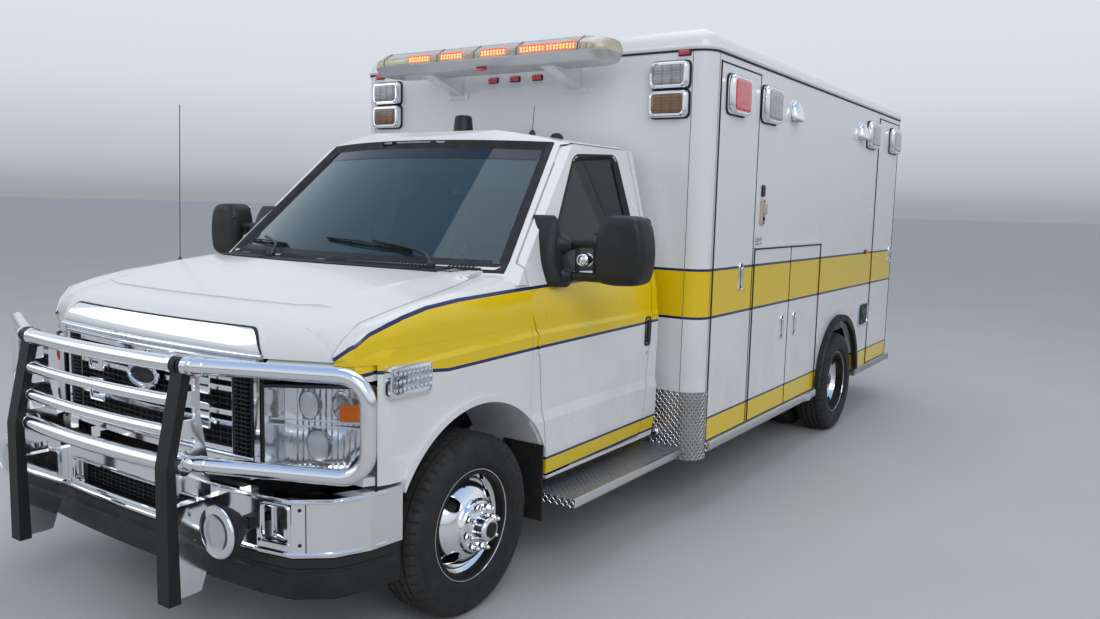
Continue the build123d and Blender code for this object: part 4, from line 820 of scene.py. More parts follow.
def make_wheels():
    profile = [(-a, r) for a, r in TYRE_HALF] + TYRE_HALF[::-1] + BEAD
    for wheel, tyres, end, places, y in (("wheel_front", "tyre_front", "front", (FRONT_WHEEL_X,), 0.0),
                                         ("wheels_rear", "tyres_rear", "rear", REAR_WHEEL_X, WHEELBASE)):
        tyre = Form()
        for x in places:
            tyre.lathe(profile, (x, y, AXLE_HEIGHT), "x", TREAD_SEGMENTS, True, tread)
        tyre.done(tyres + "_tread", "tyre_" + end, wheel + "_left", (tyres + "_left",), angle=28, pair=True)

    lip = FRONT_WHEEL_X + LIP
    steel = Form()
    for profile, segments in ((RING, 72), (FRONT_DISC, 60), (FRONT_HUB, 48)):
        steel.lathe(profile, (lip, 0, AXLE_HEIGHT), "x", segments, True)
    steel.done("rim_front_steel", "wheel_steel", "wheel_front_left", angle=40, pair=True)
    wheel_cover("rim_front", "wheel_front_left", FRONT_COVER, lip, 0.0, 0.078, FRONT_CAP)

    lip = REAR_WHEEL_X[1] + LIP
    inner_lip = REAR_WHEEL_X[0] - LIP
    steel = Form()
    inner_ring = [(-a, r) for a, r in RING]
    for x, profile, segments in ((lip, RING, 72), (lip, OUTER_DISC, 60), (inner_lip, inner_ring, 72),
                                 (inner_lip, INNER_DISC, 60), (inner_lip, REAR_HUB, 48)):
        steel.lathe(profile, (x, WHEELBASE, AXLE_HEIGHT), "x", segments, True)
    steel.done("rims_rear_steel", "wheel_steel", "wheels_rear_left", angle=40, pair=True)
    wheel_cover("rims_rear", "wheels_rear_left", REAR_COVER, lip, WHEELBASE, -0.052, REAR_CAP)


make_wheels()


# ---------------------------------------------------------------- nose

NOSE_SIDE = [(0.64, -0.724), (0.935, -0.6), (0.985, -0.48), (1.007, -0.33)]
BUMPER_SIDE = [(0.69, -0.802), (0.832, -0.776), (0.936, -0.69), (0.988, -0.57), (1.003, -0.431)]
LAMP_LOW = [(0.628, 0.686), (0.925, 0.716), (0.968, 0.812)]
LAMP_HIGH = [(0.628, 0.988), (0.968, 1.004)]


def nose_y(x):
    return -0.764 + 0.04 * (abs(x) / 0.64) ** 2 if abs(x) < 0.64 else follow(NOSE_SIDE, abs(x))


def bumper_y(x):
    return -0.83 + 0.028 * (abs(x) / 0.69) ** 2 if abs(x) < 0.69 else follow(BUMPER_SIDE, abs(x))


def plan_path(function, x0, x1, steps, inward=0.0):
    return [(x, function(x) + inward) for x in spread(x0, x1, steps)]


def plan_normals(path):
    """Outward directions of a plan that runs with growing x along the front."""
    out = []
    for before, after in zip(path[:1] + path[:-1], path[1:] + path[-1:]):
        way = Vector((after[0] - before[0], after[1] - before[1])).normalized()
        out.append((way.y, -way.x))
    return out


def plan_rings(path, section):
    """Section of (outward, height) carried along a plan of (x, y)."""
    return [[(x + nx * out, y + ny * out, z) for out, z in section]
            for (x, y), (nx, ny) in zip(path, plan_normals(path))]


def nose_grid(x0, x1, low, high, columns, rows, outward):
    """Rows of points on the nose between two heights, each with its outward direction."""
    path = plan_path(nose_y, x0, x1, columns)
    grid = []
    for t in spread(0, 1, rows):
        grid.append([(Vector((x + nx * outward, y + ny * outward, low(x) * (1 - t) + high(x) * t)),
                      Vector((nx, ny, 0))) for (x, y), (nx, ny) in zip(path, plan_normals(path))])
    return grid


def lamp_low(x):
    return follow(LAMP_LOW, x)


def lamp_high(x):
    return follow(LAMP_HIGH, x)


def lamp_border(outward, inset, deeper=0.0, deepest=9.0):
    """Outline of the headlamp on the nose."""
    points = [(0.631 + inset, lamp_low(0.631) + inset), (0.925 - inset * 0.6, 0.716 + inset),
        (0.966 - inset, 0.812 + inset * 0.4), (0.966 - inset, 1.003 - inset), (0.631 + inset, 0.987 - inset)]
    return [(x, max(nose_y(x) - outward + deeper, -deepest), z)
            for x, z in split_long(rounded(points, 0.016, 3), 0.06, 10)]


def make_headlamps():
    shell = Form()
    back = lamp_border(-0.006, 0.012, 0.062, 0.64)
    shell.skin([lamp_border(-0.006, 0.002), lamp_border(-0.006, 0.006, 0.03), back], caps=False)
    shell.bm.faces.new([shell.bm.verts.new(point) for point in back])
    for k in range(15):
        x = 0.655 + 0.0195 * k
        y = max(nose_y(x) + 0.058, -0.644)
        shell.prism([(x - 0.008, y + 0.004), (x, y - 0.006), (x + 0.008, y + 0.004)], "z",
            lamp_low(x) + 0.014, lamp_high(x) - 0.012)
    for z in (0.848, 0.868):
        shell.prism([(0.645, nose_y(0.645) + 0.02), (0.95, nose_y(0.95) + 0.02), (0.95, -0.56),
                     (0.645, -0.64)], "z", z, z + 0.006)
    shell.done("headlamp_shell", "lamp_chrome", replaces=("headlamps",), pair=True)

    bowls = Form()
    for x, z, radius, y in ((0.802, 0.786, 0.054, -0.628), (0.772, 0.925, 0.047, -0.642),
                            (0.882, 0.925, 0.04, -0.598)):
        bowls.lathe([(-0.004, radius + 0.003), (-0.004, radius), (0.012, radius * 0.93),
            (0.026, radius * 0.75), (0.037, radius * 0.45), (0.041, radius * 0.2), (0.045, 0.001)], (x, y, z),
            "y", 32, shape=lambda along, size, k: size * (0.97 if k % 4 == 0 else 1.0))
        bowls.lathe([(-0.002, 0.001), (0.0, 0.007), (0.012, 0.009), (0.04, 0.009)], (x, y + 0.002, z), "y",
            16)
    bowls.done("headlamp_bowls", "lamp_chrome", pair=True, angle=25)

    Form().sheet(nose_grid(0.632, 0.965, lambda x: lamp_low(x) + 0.002, lambda x: lamp_high(x) - 0.002, 20, 8,
        -0.001), 0.0015, 0.002).done("headlamp_lens", "clear_lens", pair=True, angle=60)
    Form().tube(lamp_border(0.0005, 0.001), 0.0055, 8, True).done("headlamp_rim", "black_plastic", pair=True)
    marker = Form()
    marker.sheet(nose_grid(0.893, 0.963, lambda x: 0.882, lambda x: 0.941, 6, 4, 0.0015), 0.003, 0.006)
    marker.sheet(nose_grid(0.908, 0.95, lambda x: 0.896, lambda x: 0.926, 4, 3, 0.0055), 0.0015, 0.004)
    marker.done("headlamp_marker", "amber_lens", pair=True)


BADGE_Z = 0.952
GRILLE_SLOTS = [(sign * 0.336, z) for sign in (-1, 1) for z in (0.972, 0.848)]


def oval(width, height, y):
    return [(x, y, BADGE_Z + z) for x, z in circle(40, width, height)]


def make_grille():
    y = nose_y(0) - 0.006
    Form().tube(oval(0.094, 0.044, y), 0.0075, 10, True).tube(oval(0.082, 0.034, y - 0.002), 0.003, 8,
        True).done("badge_ring", "chrome")
    Form().skin([oval(0.09, 0.04, y + 0.006), oval(0.09, 0.04, y), oval(0.06, 0.024, y - 0.003)]).done(
        "badge_face", "badge", angle=20)

    slots = Form()
    lips = Form()
    for x, z in GRILLE_SLOTS:
        y = nose_y(x)
        for offset in (-0.016, 0.016):
            slots.box(x - 0.036, x + 0.036, y - 0.0048, y + 0.0012, z + offset - 0.004, z + offset + 0.004,
                0.0015)
        lips.tube([(x + a, y - 0.005, z + b) for a, b in plate(0.1, 0.086, 0.01)], 0.004, 8, True)
    slots.done("grille_slots", "black_plastic")
    for z, radius in ((1.062, 0.007), (0.722, 0.006)):
        lips.tube([(x, y, z) for x, y in plan_path(nose_y, -0.585, 0.585, 30, -0.004)], radius, 10)
    lips.done("grille_lips", "chrome")

    comb = Form()
    for sign in (-1, 1):
        y = nose_y(0.531)
        for k in range(22):
            z = 0.722 + k * 0.0155
            comb.box(sign * 0.531 - 0.038, sign * 0.531 + 0.038, y - 0.001, y + 0.02, z, z + 0.006, 0.0015)
        for x in (0.512, 0.531, 0.55):
            y = nose_y(x)
            comb.box(sign * x - 0.0015, sign * x + 0.0015, y - 0.0005, y + 0.02, 0.718, 1.052)
    comb.done("grille_vents", "black_plastic")

    mesh = Form()
    for k in range(16):
        z = 0.722 + k * 0.021
        mesh.skin(plan_rings(plan_path(nose_y, -0.48, 0.48, 16, 0.034),
                             [(0.006, z), (0.006, z + 0.005), (-0.004, z + 0.005), (-0.004, z)]))
    for k in range(25):
        x = -0.468 + k * 0.039
        y = nose_y(x) + 0.03
        mesh.box(x - 0.0025, x + 0.0025, y, y + 0.006, 0.715, 1.05)
    mesh.done("grille_mesh", "black_plastic")


def make_hood_panel():
    """Chrome panel across the hood's front edge, with a dark line round it and a lip below."""
    surface = Surface("hood")

    def found(x, z):
        return surface.hit((x, -1.4, z), (0, 1, 0))

    def rows(width, low, high):
        grid = []
        for t in spread(0, 1, 9):
            row = []
            for c in range(57):
                u = -1 + 2 * c / 56
                u = math.copysign(1 - (1 - abs(u)) ** 1.35, u)
                rise = high - (high - low) * 0.5 * max(0.0, (abs(u) - 0.9) / 0.1) ** 2.2
                row.append(found(u * (width - 0.028 * t), low + (rise - low) * t) or row[-1])
            grid.append(row)
        return grid

    Form().sheet(rows(0.628, 1.09, 1.17), 0.0055, 0.003).done("hood_panel", "chrome", "hood", angle=60)
    Form().sheet(rows(0.636, 1.0835, 1.177), 0.0025, 0.002).done("hood_panel_gap", "black_rubber", "hood",
        angle=60)
    spine = [found(x, 1.086) for x in spread(-0.632, 0.632, 40)]
    Form().tube([hit[0] + Vector((0, -0.002, -0.002)) for hit in spine if hit], 0.0095, 12).done(
        "hood_lip", "chrome", "hood", angle=60)


LAMP_RECESS_BACK = -0.7475


def make_bumper_details():
    beads = Form()
    mouth = split_long(rounded(rect(-0.412, 0.412, 0.474, 0.574), 0.018, 4), 0.3, 16)
    beads.tube([(x, bumper_y(x) - 0.001, z) for x, z in mouth], 0.0075, 10, True)
    for z in (0.63, 0.452):
        beads.tube([(x, y, z) for x, y in plan_path(bumper_y, -0.995, 0.995, 60, -0.001)], 0.0075, 10)
    beads.done("bumper_beads", "chrome")

    mesh = Form()
    for k in range(6):
        z = 0.484 + k * 0.016
        mesh.skin(plan_rings(plan_path(bumper_y, -0.405, 0.405, 12, 0.034),
                             [(0.005, z), (0.005, z + 0.004), (-0.004, z + 0.004), (-0.004, z)]))
    for k in range(27):
        x = -0.4 + k * 0.0308
        y = bumper_y(x) + 0.03
        mesh.box(x - 0.002, x + 0.002, y, y + 0.006, 0.474, 0.574)
    mesh.done("bumper_mesh", "black_plastic")

    valance = [(-0.006, 0.3), (0.001, 0.312), (0.003, 0.38), (-0.004, 0.386), (-0.004, 0.4), (0.001, 0.406),
               (0.001, 0.437), (-0.014, 0.44), (-0.03, 0.43), (-0.03, 0.305)]
    Form().skin(plan_rings(plan_path(bumper_y, -1.0, 1.0, 64), valance)).done("bumper_valance",
        "black_plastic", angle=30)
    bolts = Form().studs([(-0.0045, 0.001), (-0.004, 0.0045), (-0.001, 0.0065), (0.003, 0.0065)],
                         [(x, bumper_y(x), z) for z in (0.484, 0.604) for x in (0.7, 0.852)], "y", 12)
    y = bumper_y(0.868)
    bolts.box(0.8665, 0.8695, y - 0.0012, y + 0.003, 0.452, 0.628).done("bumper_bolts", "chassis_black",
        pair=True)

    recess = rounded(rect(0.708, 0.822, 0.484, 0.612), 0.014, 4)
    rim = Form().tube([(x, bumper_y(x) - 0.001, z) for x, z in recess], 0.0055, 8, True)
    rim.box(0.728, 0.806, -0.742, -0.722, 0.508, 0.59, 0.008, 3).done("bumper_recess_rim", "chrome",
        pair=True)
    Form().box(0.736, 0.798, -0.748, -0.741, 0.516, 0.582, 0.004).done("bumper_lamp_lens", "clear_lens",
        pair=True)
    for colour, z0, z1 in (("red", 0.551, 0.573), ("blue", 0.525, 0.547)):
        lit = Form()
        for k in range(3):
            x = 0.744 + k * 0.017
            lit.box(x, x + 0.012, LAMP_RECESS_BACK - 0.002, LAMP_RECESS_BACK, z0, z1, 0.002)
        lit.done("bumper_lamp_" + colour, colour + "_lens", pair=True)


def make_driving_lamps():
    x, y, z = middle = (0.671, -0.93, 0.543)
    bowl = Form()
    bowl.lathe([(-0.016, 0.0855), (-0.01, 0.088), (0.0, 0.088), (0.006, 0.085), (0.04, 0.068), (0.062, 0.05),
                (0.068, 0.03), (0.068, 0.001)], middle, "y", 48)
    bowl.lathe([(0.0, 0.03), (0.02, 0.028), (0.03, 0.018), (0.1, 0.016), (0.118, 0.016)], (x, y + 0.06, z),
        "y", 20)
    bowl.box(x - 0.02, x + 0.02, y + 0.1, -0.8, z - 0.022, z + 0.022, 0.004)
    bowl.done("driving_lamp_housing", "black_plastic", replaces=("lamp_pods",), pair=True)
    reflector = Form()
    for profile, segments in (([(-0.0175, 0.079), (-0.01, 0.076), (0.008, 0.064), (0.024, 0.047),
            (0.034, 0.03), (0.038, 0.014), (0.039, 0.001)], 48), ([(0.039, 0.01), (0.014, 0.009),
            (0.006, 0.006), (0.004, 0.001)], 16), ([(-0.004, 0.0005), (-0.003, 0.017), (0.004, 0.02),
            (0.006, 0.018), (0.001, 0.001)], 24)):
        reflector.lathe(profile, middle, "y", segments)
    reflector.done("driving_lamp_reflector", "chrome", pair=True, angle=60, slot="lamp_lens")
    Form().lathe([(-0.018, 0.079), (-0.018, 0.085), (-0.014, 0.0875), (-0.008, 0.0875), (-0.008, 0.0845),
                  (-0.013, 0.079)], middle, "y", 56, True).done("driving_lamp_rim", "chrome", pair=True)
    Form().lathe([(-0.0125, 0.0795), (-0.016, 0.07), (-0.0195, 0.05), (-0.0215, 0.025), (-0.022, 0.0005),
                  (-0.02, 0.0005), (-0.0195, 0.025), (-0.0175, 0.05), (-0.014, 0.07), (-0.011, 0.0795)],
                 middle, "y", 48, True).done("driving_lamp_lens", "clear_lens", pair=True, angle=60)


def make_guard_details():
    """Collars where the guard's bars meet its uprights, and the bolts of its plates."""
    collars = Form()
    for z, y, radius, outside in ((1.068, -0.938, 0.0315, True), (0.948, -0.945, 0.0255, False),
                                  (0.845, -0.955, 0.0255, False), (0.738, -0.965, 0.0315, True)):
        collars.tube([(0.463, y, z), (0.441, y - 0.001, z)], radius, 24)
        if outside:
            collars.tube([(0.511, y + 0.004, z), (0.533, y + 0.0088, z)], radius, 24)
    for z in (1.068, 0.738):
        collars.tube([(0.545, -0.9145, z), (0.573, -0.9032, z)], 0.0305, 24)
    collars.done("guard_collars", "chrome", pair=True, angle=40)
    bolts = Form()
    for y, z in ((-0.868, 0.69), (-0.868, 0.56), (-0.868, 0.47), (-0.9, 0.47)):
        bolts.lathe([(0.004, 0.009), (0.011, 0.009), (0.013, 0.006), (0.0135, 0.001)], (0.487, y, z), "x", 6)
        bolts.lathe([(0.004, 0.012), (0.006, 0.012)], (0.487, y, z), "x", 16)
    bolts.done("guard_bolts", "polished_steel", pair=True)


make_headlamps()
make_grille()
make_hood_panel()
make_bumper_details()
make_driving_lamps()
make_guard_details()


# ---------------------------------------------------------------- patient module

SIDE_X = 1.207
FRONT_WALL = 1.553
BACK_WALL = 5.6
CORNER = 0.102
SIDES = (("left", 1), ("right", -1))


# Places on the module's walls, for shapes of (across, up, outward)

def on_left(y, z):
    return lambda u, v, d: (SIDE_X + d, y + u, z + v)


def on_right(y, z):
    return lambda u, v, d: (-SIDE_X - d, y + u, z + v)


def on_front(x, z):
    return lambda u, v, d: (x + u, FRONT_WALL - d, z + v)


def on_back(x, z):
    return lambda u, v, d: (x + u, BACK_WALL + d, z + v)


def framed(width, height, steps):
    """Levels for stack from (less, depth): how much smaller than width and height, and how far out."""
    return [(width - less, height - less, depth) for less, depth in steps]


def add_lamp(name, place, width, height, lens, body="chassis", rise=0.04):
    """Warning lamp: gasket, chrome bezel with four screws, and ribbed lens."""
    gasket = framed(width, height, ((-0.024, -0.002), (-0.024, 0.006), (-0.016, 0.009), (0, 0.009)))
    Form().stack(place, gasket).done(name + "_gasket", "black_rubber", body)
    bezel = Form().stack(place, framed(width, height, (
        (-0.012, 0.004), (-0.011, rise - 0.012), (-0.004, rise - 0.001), (0.006, rise + 0.0035),
        (0.026, rise + 0.0035), (0.031, rise + 0.001), (0.031, 0.004))), True)
    out = Vector(place(0, 0, 1)) - Vector(place(0, 0, 0))
    for u in (-1, 1):
        for v in (-1, 1):
            ring = [Vector(place(u * (width / 2 - 0.024) + a, v * (height / 2 - 0.024) + b, 0))
                    for a, b in circle(10, 0.0035)]
            bezel.skin([[p + out * (rise + depth) for p in ring] for depth in (0.002, 0.0048)])
    bezel.done(name + "_bezel", "chrome", body, angle=40)
    cover = Form().stack(place, framed(width, height, ((0.03, rise + 0.0003), (0.032, rise + 0.0045),
        (0.04, rise + 0.0065), (0.06, rise + 0.0072))), corner=0.16)
    ribs = int((height - 0.05) / 0.012)
    for k in range(ribs):
        v = -(height - 0.05) / 2 + (k + 0.5) * (height - 0.05) / ribs
        cover.tube([place(u, v, rise + 0.0066) for u in (-(width - 0.056) / 2, (width - 0.056) / 2)], 0.0016,
            6)
    cover.done(name + "_lens", lens, body, angle=50)


CORNER_LAMP = (0.205, 0.125)
SIDE_LAMP = (0.25, 0.19)


def make_lamps():
    backs = Form()
    rows = []
    for side, sign in SIDES:
        for name, wall, upper in (("front_clear", on_front, "clear_panel"), ("back_red", on_back,
                "red_panel")):
            rows.append((name + "_" + side, wall(sign * 0.986, 2.291), CORNER_LAMP, upper))
            rows.append((name.split("_")[0] + "_amber_" + side, wall(sign * 0.986, 2.147), CORNER_LAMP,
                "amber_panel"))
        wall = on_left if sign > 0 else on_right
        rows.append(("side_scene_front_" + side, wall(2.375, 2.216), SIDE_LAMP, "clear_panel"))
        rows.append(("side_scene_back_" + side, wall(4.614, 2.218), SIDE_LAMP, "clear_panel"))
    rows.append(("side_red_front_right", on_right(1.882, 2.216), SIDE_LAMP, "red_panel"))
    rows.append(("side_red_back_right", on_right(5.305, 2.22), SIDE_LAMP, "red_panel"))
    for name, place, size, lens in rows:
        backs.stack(place, framed(*size, ((0.004, 0.0), (0.004, 0.04))))
        add_lamp("lamp_" + name, place, *size, lens)
    backs.done("lamp_bodies", "lamp_chrome", replaces=("warning_lamps",))
    add_lamp("lamp_side_red_front_left", on_left(1.882, 2.216), *SIDE_LAMP, "red_panel", "left_front_door")
    add_lamp("lamp_side_red_back_left", on_left(5.305, 2.22), *SIDE_LAMP, "clear_panel", "left_rear_door")

    bases = Form()
    reds = Form()
    markers = [on_left(4.662, 1.312), on_right(4.662, 1.312)]
    for wall, height in ((on_back, 2.37), (on_front, 2.327)):
        markers = [wall(x, height) for x in (-0.155, 0.0, 0.155)] + [wall(x, 2.4) for x in (-1.059,
            1.059)] + markers
    for place in markers:
        bases.stack(place, [(0.072, 0.032, -0.002), (0.072, 0.032, 0.005), (0.066, 0.026, 0.008)])
        reds.stack(place, [(0.06, 0.022, 0.006), (0.058, 0.02, 0.018), (0.046, 0.012, 0.022)])
    bases.done("marker_bases", "black_plastic")
    reds.done("marker_lenses", "red_panel", angle=45)

    floods = Form()
    lenses = Form()
    for y in (2.803, 4.314):
        floods.skin([[(SIDE_X + 0.001 + depth * max(0.0, math.sin(math.pi * k / 14)) ** 0.7,
            y - width / 2 * math.cos(math.pi * k / 14), z) for k in range(15)] for z, width,
            depth in ((2.286, 0.03, 0.01), (2.281, 0.07, 0.024), (2.266, 0.108, 0.036), (2.24, 0.132, 0.046),
            (2.205, 0.142, 0.056), (2.178, 0.142, 0.062), (2.166, 0.138, 0.061))])
        floods.stack(on_left(y, 2.222), [(0.158, 0.14, -0.001), (0.158, 0.14, 0.004), (0.15, 0.132, 0.006)])
        lenses.prism([(SIDE_X + 0.004, y - 0.06), (SIDE_X + 0.046, y - 0.048), (SIDE_X + 0.055, y),
                      (SIDE_X + 0.046, y + 0.048), (SIDE_X + 0.004, y + 0.06)], "z", 2.1605, 2.168, 0.002)
    floods.done("floodlights", "chrome", pair=True, angle=50)
    lenses.done("floodlight_lenses", "clear_panel", pair=True)

    outline = rounded([(-0.502, 0.952), (-0.29, 0.946), (-0.287, 1.06), (-0.5, 1.066)], 0.02, 5)
    Form().prism(outline, "x", 0.962, 1.01, 0.004).done("fender_lamp_housing", "chrome", pair=True)
    inner = rounded([(-0.486, 0.966), (-0.306, 0.961), (-0.304, 1.046), (-0.485, 1.051)], 0.014, 4)
    bulbs = [(1.011, -0.474 + 0.0205 * k, 0.98 + 0.026 * level) for k in range(9) for level in range(3)]
    Form().prism(inner, "x", 1.004, 1.0112).studs([(0, 0.009), (0.003, 0.008), (0.0045, 0.003),
        (0.005, 0.0005)], bulbs, "x", 10).done("fender_lamp_board", "lamp_chrome", pair=True)
    Form().prism(inner, "x", 1.0115, 1.0215, 0.003).done("fender_lamp_lens", "clear_lens", pair=True)


HANDLES = [("left_front_door", on_left(2.06, 1.249), 0.152), ("left_low_door_front", on_left(2.776, 0.895),
    0.15), ("left_low_door_rear", on_left(3.01, 0.895), 0.15), ("left_rear_door", on_left(5.42, 1.265), 0.14),
    ("right_entry_door", on_right(2.56, 1.249), 0.152), ("right_rear_door", on_right(5.42, 1.265), 0.14),
    ("rear_door_left", on_back(0.07, 1.249), 0.152), ("rear_door_right", on_back(-0.07, 1.249), 0.152)]
# Wall, front and rear edge, top, and which of the two edges has the hinge
SEALED = [(on_left, 1.675, 2.232, 2.369, 0), (on_left, 2.258, 2.889, 1.395, 0),
    (on_left, 2.889, 3.49, 1.395, 1), (on_left, 4.851, 5.49, 2.369, 0), (on_right, 1.85, 2.64, 2.09, 0),
    (on_right, 4.851, 5.49, 2.09, 0)]
SEAL_HALF = 0.0044
SKIRT = 0.387


def make_handles():
    for body, place, height in HANDLES:
        ring = Form().stack(place, [
            (0.058, height + 0.006, -0.001), (0.058, height + 0.006, 0.004), (0.052, height, 0.008),
            (0.042, height - 0.01, 0.008), (0.038, height - 0.014, 0.002)], True, 0.46)
        ring.stack(place, [(0.016, height - 0.05, 0.003), (0.018, height - 0.044, 0.01),
                           (0.014, height - 0.05, 0.014)], False, 0.45)
        ring.done("handle_" + body, "chrome", body, angle=45)
        Form().stack(place, [(0.046, height - 0.006, -0.001), (0.046, height - 0.006, 0.0035)], False,
            0.46).done("handle_pan_" + body, "black_plastic", body)


def make_seals():
    """Black rubber in the gaps round the doors, higher over the hinges."""
    seals = Form()
    for wall, y0, y1, top, hinge in SEALED:
        bars = [(y - SEAL_HALF, y + SEAL_HALF, SKIRT, top + SEAL_HALF, 0.005 if hinge == edge else 0.0012)
                for edge, y in enumerate((y0, y1))]
        for *sides, rise in bars + [(y0, y1, top - SEAL_HALF, top + SEAL_HALF, 0.0012)]:
            seals.skin([[wall(0, 0)(a, b, d) for a, b in rect(*sides)] for d in (-0.012, rise)])
    for x in (-0.72, 0.72):
        seals.box(x - 0.005, x + 0.005, BACK_WALL - 0.012, BACK_WALL + 0.0045, 0.748, 2.33)
    for low, high in ((2.3225, 2.3315), (0.745, 0.753)):
        seals.box(-0.72, 0.72, BACK_WALL - 0.012, BACK_WALL + 0.001, low, high)
    seals.done("door_seals", "black_rubber")
    Form().box(-0.0035, 0.0035, BACK_WALL - 0.03, BACK_WALL + 0.002, 0.755, 2.32, 0.001).done(
        "rear_door_seal", "black_rubber", "rear_door_left")


def module_outline(offset):
    """Plan of the module with its round corners, moved outward by offset."""
    out = []
    for side, y, start in ((1, FRONT_WALL + CORNER, -90), (1, BACK_WALL - CORNER, 0),
            (-1, BACK_WALL - CORNER, 90), (-1, FRONT_WALL + CORNER, 180)):
        for degrees in spread(start, start + 90, 8):
            turn = math.radians(degrees)
            out.append((side * (SIDE_X - CORNER) + (CORNER + offset) * math.cos(turn),
                        y + (CORNER + offset) * math.sin(turn)))
    return out


def make_trim():
    # The first row is a thin black band in the black rubber material, just under the roof trim and all round
    # the module.
    for name, material, angle, section in (("roof_trim_dark_band", "black_rubber", 34,
            ((-0.002, 2.406), (0.0045, 2.406), (0.0055, 2.416), (-0.002, 2.417))),
            ("roof_trim", "plain_white_paint", 60, ((0.004, 2.417), (0.01, 2.42), (0.011, 2.428),
            (0.01, 2.436), (0.004, 2.439)))):
        Form().skin([[(x, y, z) for x, y in module_outline(offset)] for offset, z in section], True).done(
            name, material, angle=angle)
    seams = Form()
    for _, sign in SIDES[::-1]:
        x = sign * 1.105
        seams.box(x - 0.0015, x + 0.0015, FRONT_WALL - 0.0008, FRONT_WALL + 0.002, 0.664, 2.405)
        seams.box(x - 0.0015, x + 0.0015, BACK_WALL - 0.002, BACK_WALL + 0.0008, 0.4, 2.405)
        for y, low in ((1.653, 0.664), (5.5, 0.4)):
            seams.box(*sorted((sign * SIDE_X, sign * (SIDE_X + 0.0008))), y - 0.0012, y + 0.0012, low, 2.405)
    seams.done("panel_seams", "sealant")

    kick = Form()
    for x0, x1 in ((-0.946, -0.905), (0.905, 0.946)):
        kick.box(x0, x1, FRONT_WALL - 0.004, FRONT_WALL + 0.002, 0.386, 0.7, 0.001)
    kick.done("front_kick_plates", "taupe_steel")
    Form().lathe([(-0.02, 0.0005), (-0.019, 0.016), (-0.014, 0.021), (-0.006, 0.023), (-0.006, 0.03),
        (0.0, 0.031)], (0.976, FRONT_WALL - 0.005, 0.43), "y", 32).done("front_cap", "chrome", pair=True,
        angle=40)
    rivets = Form()
    head = [(-0.0035, 0.0005), (-0.0028, 0.003), (-0.001, 0.0048), (0.001, 0.005)]
    for _, sign in SIDES[::-1]:
        rivets.studs(head, [(sign * x, FRONT_WALL - 0.005, z) for x, z in (
            (0.955, 0.646), (0.955, 0.48), (0.955, 0.318), (1.09, 0.646), (1.09, 0.318))], "y", 10)
        rivets.studs([(-sign * along, radius) for along, radius in head],
                     [(sign * (SIDE_X + 0.005), 1.662, z) for z in (0.646, 0.48, 0.318)], "x", 10)
    rivets.done("guard_rivets", "polished_steel", angle=60, slot="tread_plate")


def make_side_fittings():
    Form().stack(on_left(2.34, 1.73), [(0.048, 0.066, -0.001), (0.048, 0.066, 0.006),
        (0.042, 0.06, 0.009)]).done("power_plate", "black_plastic")
    inlet = Form().stack(on_left(2.34, 1.608), [(0.062, 0.15, -0.001), (0.062, 0.15, 0.008),
        (0.052, 0.138, 0.013)])
    inlet.stack(on_left(2.34, 1.626), [(0.04, 0.06, 0.01), (0.038, 0.058, 0.026), (0.03, 0.05, 0.03)])
    inlet.done("power_inlet", "beige_plastic", angle=40)
    screws = Form().studs([(0.01, 0.0055), (0.0145, 0.005), (0.0155, 0.0005)],
                          [(SIDE_X + 0.001, 2.34, z) for z in (1.545, 1.671)], "x", 12)
    screws.lathe([(0.01, 0.011), (0.018, 0.011), (0.02, 0.0005)], (SIDE_X + 0.001, 2.34, 1.57), "x", 20)
    screws.done("power_screws", "black_plastic")
    stop = Form().box(SIDE_X - 0.001, SIDE_X + 0.022, 2.262, 2.318, 1.424, 1.44, 0.003)
    stop.box(SIDE_X - 0.001, SIDE_X + 0.012, 2.256, 2.33, 1.442, 1.472, 0.003).done("rail_stop",
        "polished_steel")

    place = on_left(4.69, 0.81)
    Form().stack(place, [(0.29, 0.19, -0.001), (0.29, 0.19, 0.006), (0.276, 0.176, 0.009),
        (0.262, 0.162, 0.009), (0.256, 0.156, 0.001)], True).done("fuel_frame", "polished_steel", angle=40)
    Form().stack(place, [(0.266, 0.166, -0.001), (0.266, 0.166, 0.0015)]).done("fuel_pan", "black_plastic")
    cap = Form().lathe([(-0.001, 0.04), (0.012, 0.04), (0.018, 0.036), (0.018, 0.012), (0.03, 0.01),
                        (0.031, 0.0005)], (SIDE_X + 0.001, 4.69, 0.815), "x", 28)
    cap.box(SIDE_X + 0.012, SIDE_X + 0.032, 4.655, 4.725, 0.808, 0.822, 0.004).done("fuel_cap",
        "green_plastic", angle=40)

    Form().studs([(-0.006, 0.0005), (-0.005, 0.008), (-0.001, 0.01), (0.001, 0.01)],
                 [(sign * x, 0.424, z) for sign in (-1, 1) for x in (0.845, 0.965) for z in (0.64, 0.585)],
                 "y", 10).done("flap_bolts", "chassis_black")
    bright = Form()
    for sign in (-1, 1):
        for x0, x1, low, high in ((1.138, 1.1515, 0.3705, 0.374), (1.148, 1.152, 0.337, 0.3735)):
            bright.box(*sorted((sign * x0, sign * x1)), 0.47, 1.546, low, high, 0.001)
    bright.done("step_edges", "polished_steel", slot="tread_plate")

    rings = []
    for y in spread(1.69, 3.505, 60):
        dent = 0.008 * math.exp(-((y - 3.33) / 0.055) ** 2) + 0.004 * math.exp(-((y - 3.18) / 0.03) ** 2)
        sag = -0.012 * math.exp(-((y - 3.35) / 0.07) ** 2)
        x = SIDE_X + 0.0155
        rings.append([(x - 0.006, y, 0.3835 + sag), (x + 0.001 + dent, y, 0.3845 + sag),
                      (x + 0.0045 + dent, y, 0.379 + sag), (x + 0.0045 + dent * 1.6, y, 0.345 + sag),
                      (x + 0.001 + dent, y, 0.336 + sag * 0.4), (x - 0.006, y, 0.334)])
    Form().skin(rings).done("rub_rail_face", "brushed_aluminium", angle=40, slot="tread_plate")


